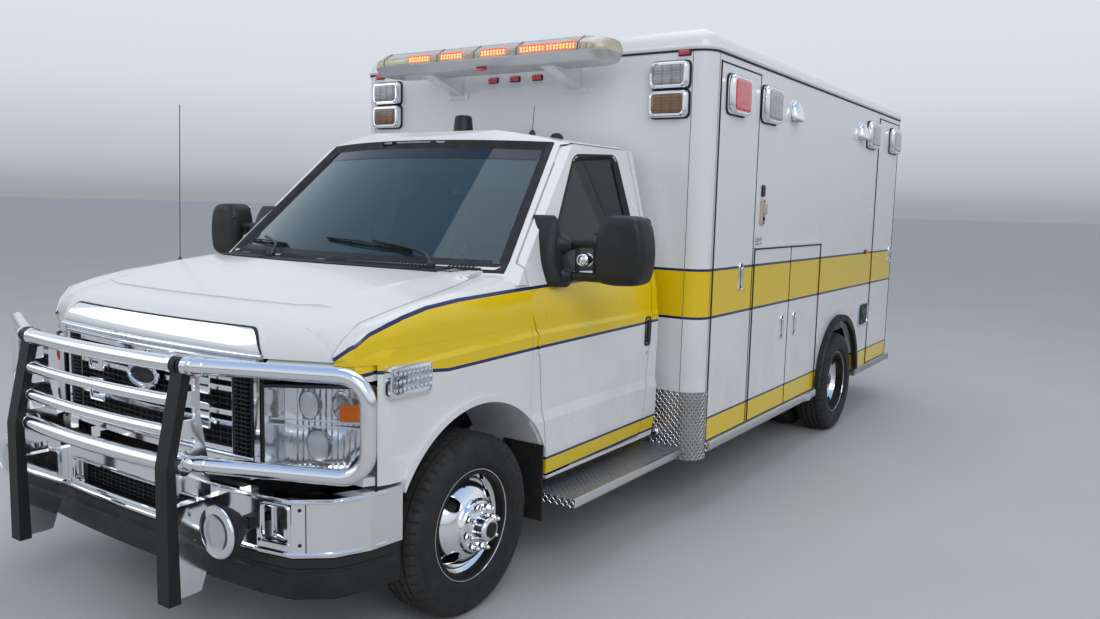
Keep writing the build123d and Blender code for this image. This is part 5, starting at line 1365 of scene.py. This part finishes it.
def add_window(name, seal_name, place, width, height, body):
    Form().stack(place, framed(width, height, ((0.028, -0.024), (0.028, -0.018))), False, 0.08).done(
        name, "dark_glass", body)
    Form().stack(place, framed(width, height, ((0, -0.001), (0, 0.007), (0.016, 0.01), (0.048, 0.008),
        (0.06, -0.004), (0.06, -0.03), (0.04, -0.03))), True, 0.08).done(seal_name, "black_rubber", body)


def make_windows():
    """Glass and rubber of the rear doors and the entry door."""
    for side, sign in SIDES:
        add_window("rear_window_" + side, "rear_window_seal_" + side, on_back(sign * 0.36, 1.78), 0.4, 0.64,
                   "rear_door_" + side)
    add_window("entry_window", "entry_window_seal", on_right(2.245, 1.755), 0.45, 0.65, "right_entry_door")


def make_tail():
    for name, x, z, width, lens in (("tail_stop_", 0.86, 0.61, 0.105, "red_panel"),
                                    ("tail_turn_", 0.86, 0.52, 0.105, "amber_panel"),
                                    ("tail_back_", 0.975, 0.565, 0.1, "clear_panel")):
        for side, sign in SIDES:
            add_lamp(name + side, on_back(sign * x, z), width, 0.074, lens, rise=0.016)
    plates = Form()
    for x in (-0.915, 0.915):
        plates.stack(on_back(x, 0.565), [(0.28, 0.21, -0.001), (0.28, 0.21, 0.003)], False, 0.05)
    plates.stack(on_back(0.0, 0.715), [(1.5, 0.05, -0.001), (1.5, 0.05, 0.004)], False, 0.05)
    plates.done("tail_plates", "tread_plate")
    hinges = Form()
    for sign in (-1, 1):
        for z in (1.0, 1.42, 2.18):
            x = sign * 0.755
            hinges.box(x - 0.012, x + 0.012, BACK_WALL - 0.001, BACK_WALL + 0.014, z - 0.045, z + 0.045,
                0.004)
            pin = x - sign * 0.03
            hinges.tube([(pin, BACK_WALL + 0.0065, z - 0.05), (pin, BACK_WALL + 0.0065, z + 0.05)], 0.0055,
                12)
    hinges.done("rear_hinges", "polished_steel", angle=40)
    for side, sign in SIDES[::-1]:
        x = sign * 0.63
        bend = [(0, 1.05), (0.045, 1.07), (0.048, 1.2), (0.048, 1.9), (0.045, 2.1), (0, 2.12)]
        Form().tube(smooth_path([(x, BACK_WALL + out, z) for out, z in bend]), 0.013, 14).studs(
            [(0.0, 0.028), (0.006, 0.026), (0.008, 0.013)], [(x, BACK_WALL - 0.001, z) for z in (1.05, 2.12)],
            "y", 20).done("rear_grab_" + side, "polished_steel", "rear_door_" + side, angle=45)
    Form().box(-1.08, 1.08, 5.8, 5.832, 0.4695, 0.472, 0.0008).done("step_edge_strip", "black_rubber")


make_lamps()
make_handles()
make_seals()
make_trim()
make_side_fittings()
make_windows()
make_tail()


# ---------------------------------------------------------------- light bar

BAR_Y = 1.318
DECK = 2.4


def bar_section(scale, squash=1.0):
    """Lens of the light bar across the bar, outside and then back along the inside."""
    outer = [(-0.149, 2.385), (-0.15, 2.4), (-0.147, 2.424), (-0.086, 2.464), (0.0, 2.474), (0.086, 2.464),
             (0.147, 2.424), (0.15, 2.4), (0.149, 2.385)]
    inner = [(y * 0.972, z if z < 2.39 else z - 0.004) for y, z in reversed(outer)]
    return [(BAR_Y + y * scale, z if z < DECK else DECK + (z - DECK) * squash) for y, z in outer + inner]


def make_light_bar():
    low = rounded([(BAR_Y - 0.1, 2.338), (BAR_Y + 0.1, 2.338), (BAR_Y + 0.152, 2.386), (BAR_Y + 0.138, 2.392),
                   (BAR_Y - 0.138, 2.392), (BAR_Y - 0.152, 2.386)], 0.01, 3)
    base = Form().prism(low, "x", -0.668, 0.668, 0.002)
    lens = Form()
    for x0, x1 in ((-0.655, -0.262), (-0.256, -0.003), (0.003, 0.277), (0.283, 0.655)):
        lens.skin([[(x, y, z) for y, z in bar_section(1.0)] for x in (x0, x1)])
    for sign in (-1, 1):
        base.skin([[(sign * x, BAR_Y + (y - BAR_Y) * scale, min(2.392, z + lift)) for y, z in low] for x,
            scale, lift in ((0.668, 1.0, 0), (0.72, 0.86, 0.002), (0.77, 0.66, 0.008), (0.788, 0.48, 0.02))])
        lens.skin([[(sign * x, y, z) for y, z in bar_section(scale, min(1, 0.35 + scale * 0.65))] for x,
            scale in ((0.659, 1.0), (0.7, 0.93), (0.745, 0.78), (0.775, 0.62), (0.789, 0.46))])
        lens.skin([[(sign * x, y, z) for y, z in bar_section(0.46, 0.65)[:9]] for x in (0.7885, 0.7905)])
    base.done("light_bar_base", "brushed_aluminium", replaces=("light_bar",), angle=40, slot="chrome")
    lens.done("light_bar_lens", "bar_lens", angle=30)
    ribs = Form()
    for x in (-0.657, -0.259, 0.0, 0.28, 0.657):
        ribs.skin([[(x + dx, BAR_Y + (y - BAR_Y) * 1.008, z + 0.001) for y, z in bar_section(1.0)]
                   for dx in (-0.003, 0.003)])
    ribs.prism(rect(BAR_Y - 0.136, BAR_Y + 0.136, 2.388, 2.394), "x", -0.655, 0.655)
    ribs.box(-0.65, 0.65, BAR_Y - 0.03, BAR_Y + 0.03, 2.394, 2.44, 0.003)
    for x0, x1 in ((-0.742, -0.662), (0.662, 0.742)):
        ribs.box(x0, x1, BAR_Y - 0.1, BAR_Y + 0.1, 2.388, 2.396)
    ribs.done("light_bar_frame", "grey_plastic", angle=40)

    boards = Form()
    glow = Form()
    spots = Form()
    for x0, x1, lamps in ((-0.59, -0.475, 0), (-0.47, -0.32, 8), (-0.235, -0.085, 8), (0.045, 0.205, 8),
                          (0.3, 0.455, 8), (0.465, 0.64, 9)):
        boards.box(x0, x1, BAR_Y - 0.14, BAR_Y - 0.105, 2.394, 2.428, 0.003)
        boards.box(x0, x1, BAR_Y + 0.105, BAR_Y + 0.14, 2.394, 2.428, 0.003)
        if lamps:
            glow.box(x0 - 0.004, x1 + 0.004, BAR_Y - 0.1425, BAR_Y - 0.1395, 2.393, 2.43, 0.001)
            glow.box(x0 - 0.004, x1 + 0.004, BAR_Y - 0.134, BAR_Y - 0.08, 2.427, 2.433, 0.001)
            spots.studs([(-0.004, 0.0005), (-0.003, 0.0036), (-0.001, 0.0056), (0.001, 0.0056)],
                        [(x, BAR_Y - 0.1425, z) for x in spread(x0 + 0.01, x1 - 0.01, lamps - 1)
                         for z in (2.404, 2.418)], "y", 10)
    boards.done("light_bar_boards", "lamp_chrome")
    glow.done("light_bar_glow", "red_glow")
    spots.done("light_bar_leds", "amber_glow", angle=60)
    ends = Form()
    for sign in (-1, 1):
        for turn in spread(0, math.pi, 8):
            x = sign * (0.672 + 0.072 * math.sin(turn))
            y = BAR_Y - 0.118 * math.cos(turn)
            ends.box(x - 0.007, x + 0.007, y - 0.007, y + 0.007, 2.396, 2.424, 0.002)
    ends.done("light_bar_end_lamps", "lamp_chrome")
    Form().box(-0.02, 0.05, BAR_Y - 0.118, BAR_Y - 0.096, 2.326, 2.34, 0.004).done("light_bar_sensor",
        "red_panel")

    brackets = Form()
    bolts = Form()
    side = [(1.5465, 2.252), (1.5465, 2.394), (1.408, 2.352), (1.262, 2.343), (1.262, 2.33), (1.3, 2.326)]
    for x in (-0.412, 0.412):
        brackets.prism(side, "x", x - 0.04, x + 0.04, 0.004)
        brackets.stack(on_front(x, 2.322), [(0.15, 0.19, -0.001), (0.15, 0.19, 0.005),
            (0.146, 0.186, 0.0065)], False, 0.05)
        bolts.studs([(-0.0045, 0.0005), (-0.004, 0.005), (-0.001, 0.0062), (0.001, 0.0062)],
            [(x + dx, FRONT_WALL - 0.0065, z) for dx in (-0.062, 0.062) for z in (2.242, 2.402)], "y", 8)
    brackets.done("light_bar_brackets", "plain_white_paint", angle=30)
    bolts.done("bracket_bolts", "polished_steel")


# ---------------------------------------------------------------- windscreen and cowl

RAKE = math.radians(41.2)
SCREEN_OUT = Vector((0, -math.sin(RAKE), math.cos(RAKE)))
screen = Surface("windscreen", "cab_shell")
shell = Surface("cab_shell")
hood_top = Surface("hood")
door = Surface("cab_door_left", "cab_glass_left", "cab_shell")
fender = Surface("front_fenders", "cab_shell")


def on_screen(x, v):
    """Point and normal of the windscreen, x across and v up the glass."""
    plane = Vector((x, 0.092 + v * math.cos(RAKE), 1.358 + v * math.sin(RAKE)))
    return screen.hit(plane + SCREEN_OUT * 0.3, -SCREEN_OUT)


def glass_low(x):
    return 0.004 + 0.156 * (x / 0.872) ** 2


def glass_high(x):
    return 0.852 + 0.092 * (x / 0.716) ** 2


def screen_outline(grow):
    """Edge of the glass, moved outward by grow."""
    drop = grow * 2.2 if grow > 0 else grow
    low = [(x, glass_low(x) - drop) for x in [(-0.872 - grow) + (1.744 + 2 * grow) * k / 48 for k
        in range(49)]]
    side = [(0.872 + grow - 0.156 * k / 16, 0.16 + 0.784 * k / 16) for k in range(1, 16)]
    high = [(x, glass_high(x) + min(grow, 0.003))
            for x in [(0.716 + grow) - (1.432 + 2 * grow) * k / 40 for k in range(41)]]
    return low + side + high + [(-x, v) for x, v in reversed(side)]


def band(rings, lifts):
    """A ribbon between outlines of (point, normal), each lifted by its own height."""
    return Form().skin([[p + n * lift for p, n in ring] for ring, lift in zip(rings, lifts)], True)


def make_screen():
    rings = [[on_screen(x, v) for x, v in screen_outline(grow)] for grow in (0.016, 0.012, 0.0, -0.026,
        -0.036)]
    for index in range(len(rings[0])):
        good = [ring[index] for ring in rings if ring[index]]
        for ring in rings:
            if ring[index] is None:
                ring[index] = good[0] if good else rings[0][index - 1]
    for ring in rings:
        for index in range(1, len(ring) - 1):
            middle = (ring[index - 1][0] + ring[index + 1][0]) / 2
            if (ring[index][0] - middle).length > 0.06:
                ring[index] = (middle, ring[index - 1][1])
    band(rings + rings[::-1], (0.001, 0.006, 0.008, 0.007, 0.0015, -0.003, -0.004, -0.004, -0.004,
        -0.004)).done("windscreen_rubber", "black_rubber", angle=50)
    for name, material, lift, half, steps, edge, heights in (
            ("windscreen_tint", "tint_glass", 0.0012, 0.69, 32, glass_high,
             [-0.02 - 0.09 * k / 4 for k in range(5)]),
            ("windscreen_border", "black_plastic", 0.001, 0.8, 40, glass_low, (0.026, 0.04, 0.056))):
        Form().sheet([[on_screen(x, edge(x) + v) for x in spread(-half, half, steps)] for v in heights], lift,
                     0.001).done(name, material)


def cowl_point(x, t, lift=0.0):
    """Point of the cowl, from the hood's rear edge at t = 0 to the glass at t = 1."""
    edge = on_screen(x, glass_low(x) + 0.004)[0]
    start = -0.05 + 0.195 * (x / 0.836) ** 2
    front = hood_top.below(x, start - 0.016)
    low = front[0].z - 0.003 if front else 1.33
    y = start + (edge.y - start) * t
    z = low + (edge.z - low) * t - 0.004 * math.sin(math.pi * t)
    under = shell.below(x, y, z + 0.025)
    return Vector((x, y, (max(z, under[0].z + 0.003) if under else z) + lift))


NOZZLES = (-0.544, 0.07)
# Wipers: pivot's x, then elbow, tip and the blade's two ends as (x, up the glass)
WIPERS = ((0.6, (0.5, 0.06), (0.23, 0.12), (0.44, 0.085), (-0.07, 0.135)),
          (-0.33, (-0.385, 0.055), (-0.56, 0.1), (-0.33, 0.075), (-0.76, 0.08)))


def make_cowl():
    up = Vector((0, -0.2, 0.98))
    Form().sheet([[(cowl_point(-0.79 + 1.58 * j / 56, k / 6), up) for j in range(57)] for k in range(7)],
        0.004, 0.01).done("cowl_panel", "black_plastic", angle=40)
    ribs = Form()
    for k in range(96):
        x = -0.765 + 0.0158 * k
        if min(abs(x - wiper[0]) for wiper in WIPERS) >= 0.03:
            ribs.tube([cowl_point(max(-0.785, min(0.785, x + 0.034 * t)), 0.1 + 0.8 * t, 0.0055)
                       for t in (0, 0.33, 0.66, 1)], 0.0026, 6)
    ribs.done("cowl_ribs", "black_plastic", angle=60)
    nozzles = Form()
    for place in NOZZLES:
        x, y, z = cowl_point(place, 0.55, 0.006)
        nozzles.box(x - 0.022, x + 0.022, y - 0.012, y + 0.012, z - 0.006, z + 0.012, 0.004)
        nozzles.box(x - 0.008, x + 0.008, y - 0.018, y - 0.004, z, z + 0.01, 0.002)
    nozzles.done("washer_nozzles", "grey_plastic")
    arms = Form()
    blades = Form()
    for pivot_x, elbow, tip, near, far in WIPERS:
        pivot = cowl_point(pivot_x, 0.7, 0.014)
        points = [pivot]
        for x, v in (elbow, tip):
            point, normal = on_screen(x, glass_low(x) + v)
            points.append(point + normal * 0.03)
        points[-1] -= SCREEN_OUT * 0.006
        arms.tube(smooth_path(points), 0.0075, 8)
        arms.lathe([(-0.016, 0.018), (0.004, 0.02), (0.012, 0.016), (0.014, 0.0005)], pivot, "z", 16)
        line = [on_screen(x, glass_low(x) + v) for x, v in zip(spread(near[0], far[0], 12),
            spread(near[1], far[1], 12))]
        back = [p + n * (0.012 + 0.008 * math.sin(math.pi * i / 12)) for i, (p, n) in enumerate(line)]
        blades.tube([p + n * 0.005 for p, n in line], 0.0038, 6).tube(back, 0.0036, 6)
        for i in (1, 4, 8, 11):
            blades.tube([line[i][0] + line[i][1] * 0.004, back[i]], 0.0036, 6)
    arms.done("wiper_arms", "satin_black", angle=60)
    blades.done("wiper_blades", "black_rubber", angle=60)


# ---------------------------------------------------------------- doors, mirrors and roof

HANDLE_Y = 1.365
WINDOW = [(0.512, 1.342), (0.905, 1.842), (1.29, 1.866), (1.318, 1.6), (1.345, 1.318)]
WINDOW_CENTRE = Vector((0.98, 1.55))


def make_door_details():
    outlines = []
    for grow in (0.014, 0.01, 0.002, -0.01, -0.014):
        outline = []
        for corner in rounded(WINDOW, 0.05, 6):
            move = (Vector(corner) - WINDOW_CENTRE).normalized() * grow * 1.25
            outline.append((corner[0] + move.x, corner[1] + move.y))
        outlines.append(list(zip(outline, outline[1:] + outline[:1])))
    counts = [max(1, int(math.hypot(c - a, d - b) / 0.06)) for (a, b), (c, d) in outlines[0]]
    rings = []
    for sides in outlines:
        ring = []
        for ((a, b), (c, d)), count in zip(sides, counts):
            ring.extend(door.beside(a + (c - a) * k / count, b + (d - b) * k / count) for k in range(count))
        rings.append(ring)
    band(rings + rings[::-1], (0.001, 0.004, 0.005, 0.004, 0.001, -0.004, -0.004, -0.004, -0.004,
        -0.004)).done("cab_window_seal", "black_rubber", "cab_door_left", angle=50, pair=True)

    face = door.beside(HANDLE_Y, 1.0)[0].x

    def place(u, v, d):
        return face + d, HANDLE_Y + u, 0.995 + v

    handle = Form().stack(place, [(0.058, 0.15, -0.004), (0.058, 0.15, 0.004), (0.05, 0.142, 0.006),
                                  (0.042, 0.132, 0.004), (0.04, 0.128, -0.004)], True, 0.3)
    handle.stack(place, [(0.022, 0.118, -0.004), (0.024, 0.12, 0.01), (0.018, 0.112, 0.016)], False, 0.4)
    handle.done("cab_handle", "satin_black", "cab_door_left", angle=45, pair=True)
    Form().lathe([(0.004, 0.0005), (0.004, 0.009), (0.0015, 0.012), (-0.004, 0.013)],
                 (door.beside(HANDLE_Y, 0.88)[0].x, HANDLE_Y, 0.885), "x", 20).done(
        "cab_key", "polished_steel", "cab_door_left", pair=True)

    path = []
    for y in spread(0.8, 1.46, 40):
        hit = shell.beside(y, (1.916 if y > 0.93 else 1.916 - (0.93 - y) * 0.85) + 0.004)
        if hit:
            path.append(hit[0] + Vector((0.002, 0, 0)))
    Form().tube(path, 0.0065, 8).done("drip_rail", "cab_paint", angle=60, pair=True)
    # A thin black tube in the black rubber material, just under the drip rail: a painted shadow of the rail.
    Form().tube([p + Vector((0.001, 0, -0.0085)) for p in path], 0.0032, 6).done(
        "drip_rail_painted_shadow", "black_rubber", angle=60, pair=True)


def make_mirrors():
    panes = Form()
    for z, height, face in ((1.495, 0.155, 0.6535), (1.352, 0.085, 0.655)):
        panes.skin([[(1.287 + u, y, z + v) for u, v in plate(0.175, height, 0.02)] for y in (0.648, face)])
    panes.done("mirror_glass", "mirror", "cab_door_left", pair=True)
    outline = rounded([(1.18, 1.3), (1.25, 1.291), (1.378, 1.301), (1.396, 1.382), (1.396, 1.468),
                       (1.371, 1.579), (1.21, 1.58), (1.18, 1.5)], 0.02, 4)
    Form().skin([[(x, y, z) for x, z in scaled(outline, (1.29, 1.438), size)] for size, y in (
        (0.97, 0.6485), (0.95, 0.6545), (0.9, 0.6515), (0.9, 0.6495))], True).done(
        "mirror_rim", "black_plastic", "cab_door_left", angle=50, pair=True)
    lamp = Form().lathe([(-0.034, 0.0005), (-0.03, 0.018), (-0.018, 0.03), (0.01, 0.03), (0.012, 0.0005)],
                        (1.104, 0.58, 1.392), "y", 20)
    lamp.tube([(1.104 + 0.022 * math.cos(a), 0.546, 1.392 + 0.022 * math.sin(a)) for a in spread(0,
        2 * math.pi, 16)], 0.004, 6).done("mirror_lamp", "chrome", "cab_door_left", angle=45, pair=True)
    posts = Form()
    for x in (1.062, 1.15):
        posts.tube([(x, 0.579, 1.33), (x, 0.579, 1.452)], 0.01, 10)
    posts.done("mirror_posts", "black_plastic", "cab_door_left", pair=True)
    path = [(1.174, 0.53, 1.505), (1.215, 0.528, 1.505), (1.262, 0.528, 1.49), (1.292, 0.528, 1.45),
            (1.3, 0.528, 1.4), (1.302, 0.53, 1.306)]
    Form().tube(smooth_path(path, 5), 0.0055, 8).done("mirror_step", "black_plastic", "cab_door_left",
        angle=60, pair=True)


def roof_top(x, y):
    return x, y, shell.below(x, y, 2.3)[0].z


def make_roof():
    blobs = Form()
    for x, y, size in ((0.529, 1.196, 0.034), (-0.529, 1.196, 0.034), (0.373, 1.2, 0.018)):
        blobs.lathe([(-0.01, size * 1.05), (0.006, size), (0.02, size * 0.72), (0.026, size * 0.3),
                     (0.0265, 0.0005)], roof_top(x, y), "z", 20)
    blobs.lathe([(-0.012, 0.062), (0.004, 0.062), (0.008, 0.056), (0.088, 0.048), (0.1, 0.042), (0.104, 0.03),
        (0.105, 0.0005)], roof_top(-0.13, 1.25), "z", 28).done("roof_aerials", "black_plastic", angle=40)
    x, y, z = roof_top(0.373, 1.2)
    whip = Form().tube([(x, y, z), (x + 0.002, y + 0.003, z + 0.06), (x + 0.006, y + 0.008, z + 0.155)],
        0.0018, 6)
    whip.lathe([(-0.012, 0.018), (0.004, 0.018), (0.02, 0.008), (0.03, 0.005)], (-0.935, 0.02, 1.286), "z",
        14)
    whip.tube([(-0.935, 0.02, 1.29), (-0.939, 0.03, 1.646), (-0.945, 0.044, 2.066)], 0.002, 6)
    whip.done("whip_aerials", "satin_black", angle=60)


# Where the hood meets the fender, as (y, x, z)
SEAM = [(-0.632, 0.868, 1.1), (-0.6, 0.88, 1.15), (-0.543, 0.9, 1.205), (-0.4, 0.912, 1.241),
        (-0.253, 0.915, 1.2685), (-0.06, 0.882, 1.292), (0.137, 0.836, 1.315), (0.2, 0.828, 1.322),
        (0.356, 0.828, 1.332)]


def seam_at(y):
    return follow([row[:2] for row in SEAM], y), follow([row[::2] for row in SEAM], y)


def make_crown():
    """Shoulder of the fender up to the hood, and the hood's own side that meets it."""
    grid = []
    for y in [-0.632 + 0.986 * k / 44 for k in range(45)]:
        x0, z0 = seam_at(y)
        x0 += 0.003
        low = 1.12 if y > -0.5 else 1.085 + (y + 0.632) * 0.265
        hit = fender.beside(y, low)
        x1 = max(hit[0].x + 0.0005 if hit else x0 + 0.01, x0 + 0.004)
        grid.append([(Vector((x0 + (x1 - x0) * math.sin(turn) ** 0.75, y,
                              low + (z0 - low) * max(0.0, math.cos(turn)) ** 0.65)),
                      Vector((math.sin(turn), 0, math.cos(turn)))) for turn in spread(0, math.pi / 2, 12)])
    Form().sheet(grid, 0.001, 0.006).done("fender_crown", "cab_paint", pair=True, angle=50)
    flank = Form()
    for sign in (-1, 1):
        grid = []
        for y in [-0.628 + 0.752 * k / 35 for k in range(36)]:
            x1, z1 = seam_at(y)
            x1 -= 0.003
            inner = max(0.735, 0.836 * math.sqrt(max(0.0, y + 0.064) / 0.195))
            hit = hood_top.below(inner, y) or hood_top.below(inner, y + 0.02)
            z0 = hit[0].z if hit else z1
            row = []
            for t in spread(0, 1, 10):
                x = inner + (x1 - inner) * t
                under = hood_top.below(x, y)
                z = max(z0 + 0.0012 + (z1 - z0) * t ** 1.4, under[0].z + 0.0012 if under else 0.0)
                row.append((Vector((sign * x, y, z)), Vector((sign * 0.15 * t, 0, 1))))
            grid.append(row)
        flank.sheet(grid, 0.0006, 0.01)
    flank.done("hood_flanks", "plain_white_paint", "hood", angle=50)
    section = ((0.012, 1.014), (0.007, 1.02), (0.009, 1.068), (0.02, 1.076), (0.05, 1.076), (0.05, 1.014))
    for name, material, x0, x1 in (("headlamp_brow", "plain_white_paint", 0.64, 0.868),
                                   ("headlamp_brow_end", "cab_paint", 0.869, 0.956)):
        Form().skin([[(x, nose_y(x) + a, z) for a, z in section] for x in spread(x0, x1, 14)]).done(
            name, material, angle=40, pair=True)


def make_round_mirrors():
    """Mirror head with round edges, its arms and the sail on the door."""
    outline = rounded([(1.172, 1.3), (1.25, 1.29), (1.38, 1.298), (1.4, 1.38), (1.4, 1.47),
                       (1.374, 1.582), (1.206, 1.584), (1.172, 1.5)], 0.06, 6)
    head = Form().skin([[(x, y, z) for x, z in scaled(outline, (1.286, 1.438), size)] for y, size in (
        (0.521, 0.7), (0.523, 0.82), (0.53, 0.92), (0.542, 0.975), (0.565, 1.0), (0.61, 1.0), (0.64, 0.99),
        (0.648, 0.975), (0.648, 0.93), (0.64, 0.92))])
    for z in (1.46, 1.318):
        head.tube(smooth_path([(0.985, 0.56, z - 0.004), (1.04, 0.572, z), (1.12, 0.58, z), (1.2, 0.582, z)],
            5), 0.021, 14, squeeze=0.9)
    sail = rounded([(0.5, 1.51), (0.476, 1.39), (0.486, 1.272), (0.61, 1.266), (0.655, 1.322), (0.572, 1.48),
                    (0.556, 1.59)], 0.03, 5)
    rings = []
    for lift, size in ((-0.004, 1.0), (0.012, 1.0), (0.022, 0.94), (0.03, 0.8), (0.036, 0.55)):
        ring = []
        for y, z in scaled(sail, (0.54, 1.4), size):
            hit = door.beside(y, z)
            face = 0.992 - 0.16 * (z - 1.28) - 0.55 * max(0.0, 0.53 - y)
            ring.append((min(hit[0].x, face) - 0.004 if hit and lift < 0 else face + lift, y, z))
        rings.append(ring)
    head.skin(rings).studs([(0.995, 0.05), (1.012, 0.04), (1.03, 0.027), (1.05, 0.021)],
                           [(0.0, 0.565, z) for z in (1.452, 1.318)], "x", 20)
    head.done("mirror_head", "black_plastic", "cab_door_left", ("mirror_left",), 40, True)


make_crown()
make_round_mirrors()
make_light_bar()
make_screen()
make_cowl()
make_door_details()
make_mirrors()
make_roof()


# ---------------------------------------------------------------- floor and finish

def make_floor():
    mesh = bpy.data.meshes.new("floor")
    bm = bmesh.new()
    bmesh.ops.create_grid(bm, x_segments=8, y_segments=8, size=300)
    bm.to_mesh(mesh)
    bm.free()
    floor = add_object("floor", mesh)
    shade = Shader("floor", srgb(190, 191, 193), 0.8)
    shade.set(Base_Color=shade.mix(shade.noise(0.7, 5), srgb(184, 185, 187), srgb(196, 197, 199)))
    floor.data.materials.append(mats["floor"])


make_camera()
make_world()
make_light("key", (9, -9, 9), (7, 7), 470, (1.0, 0.985, 0.96))
make_light("fill", (-9, -8, 6), (8, 6), 130, (0.93, 0.96, 1.0))
make_light("top", (0, 1, 9), (6, 9), 190, (1.0, 1.0, 1.0))
make_floor()

scene = bpy.context.scene
scene.view_settings.view_transform = "Standard"
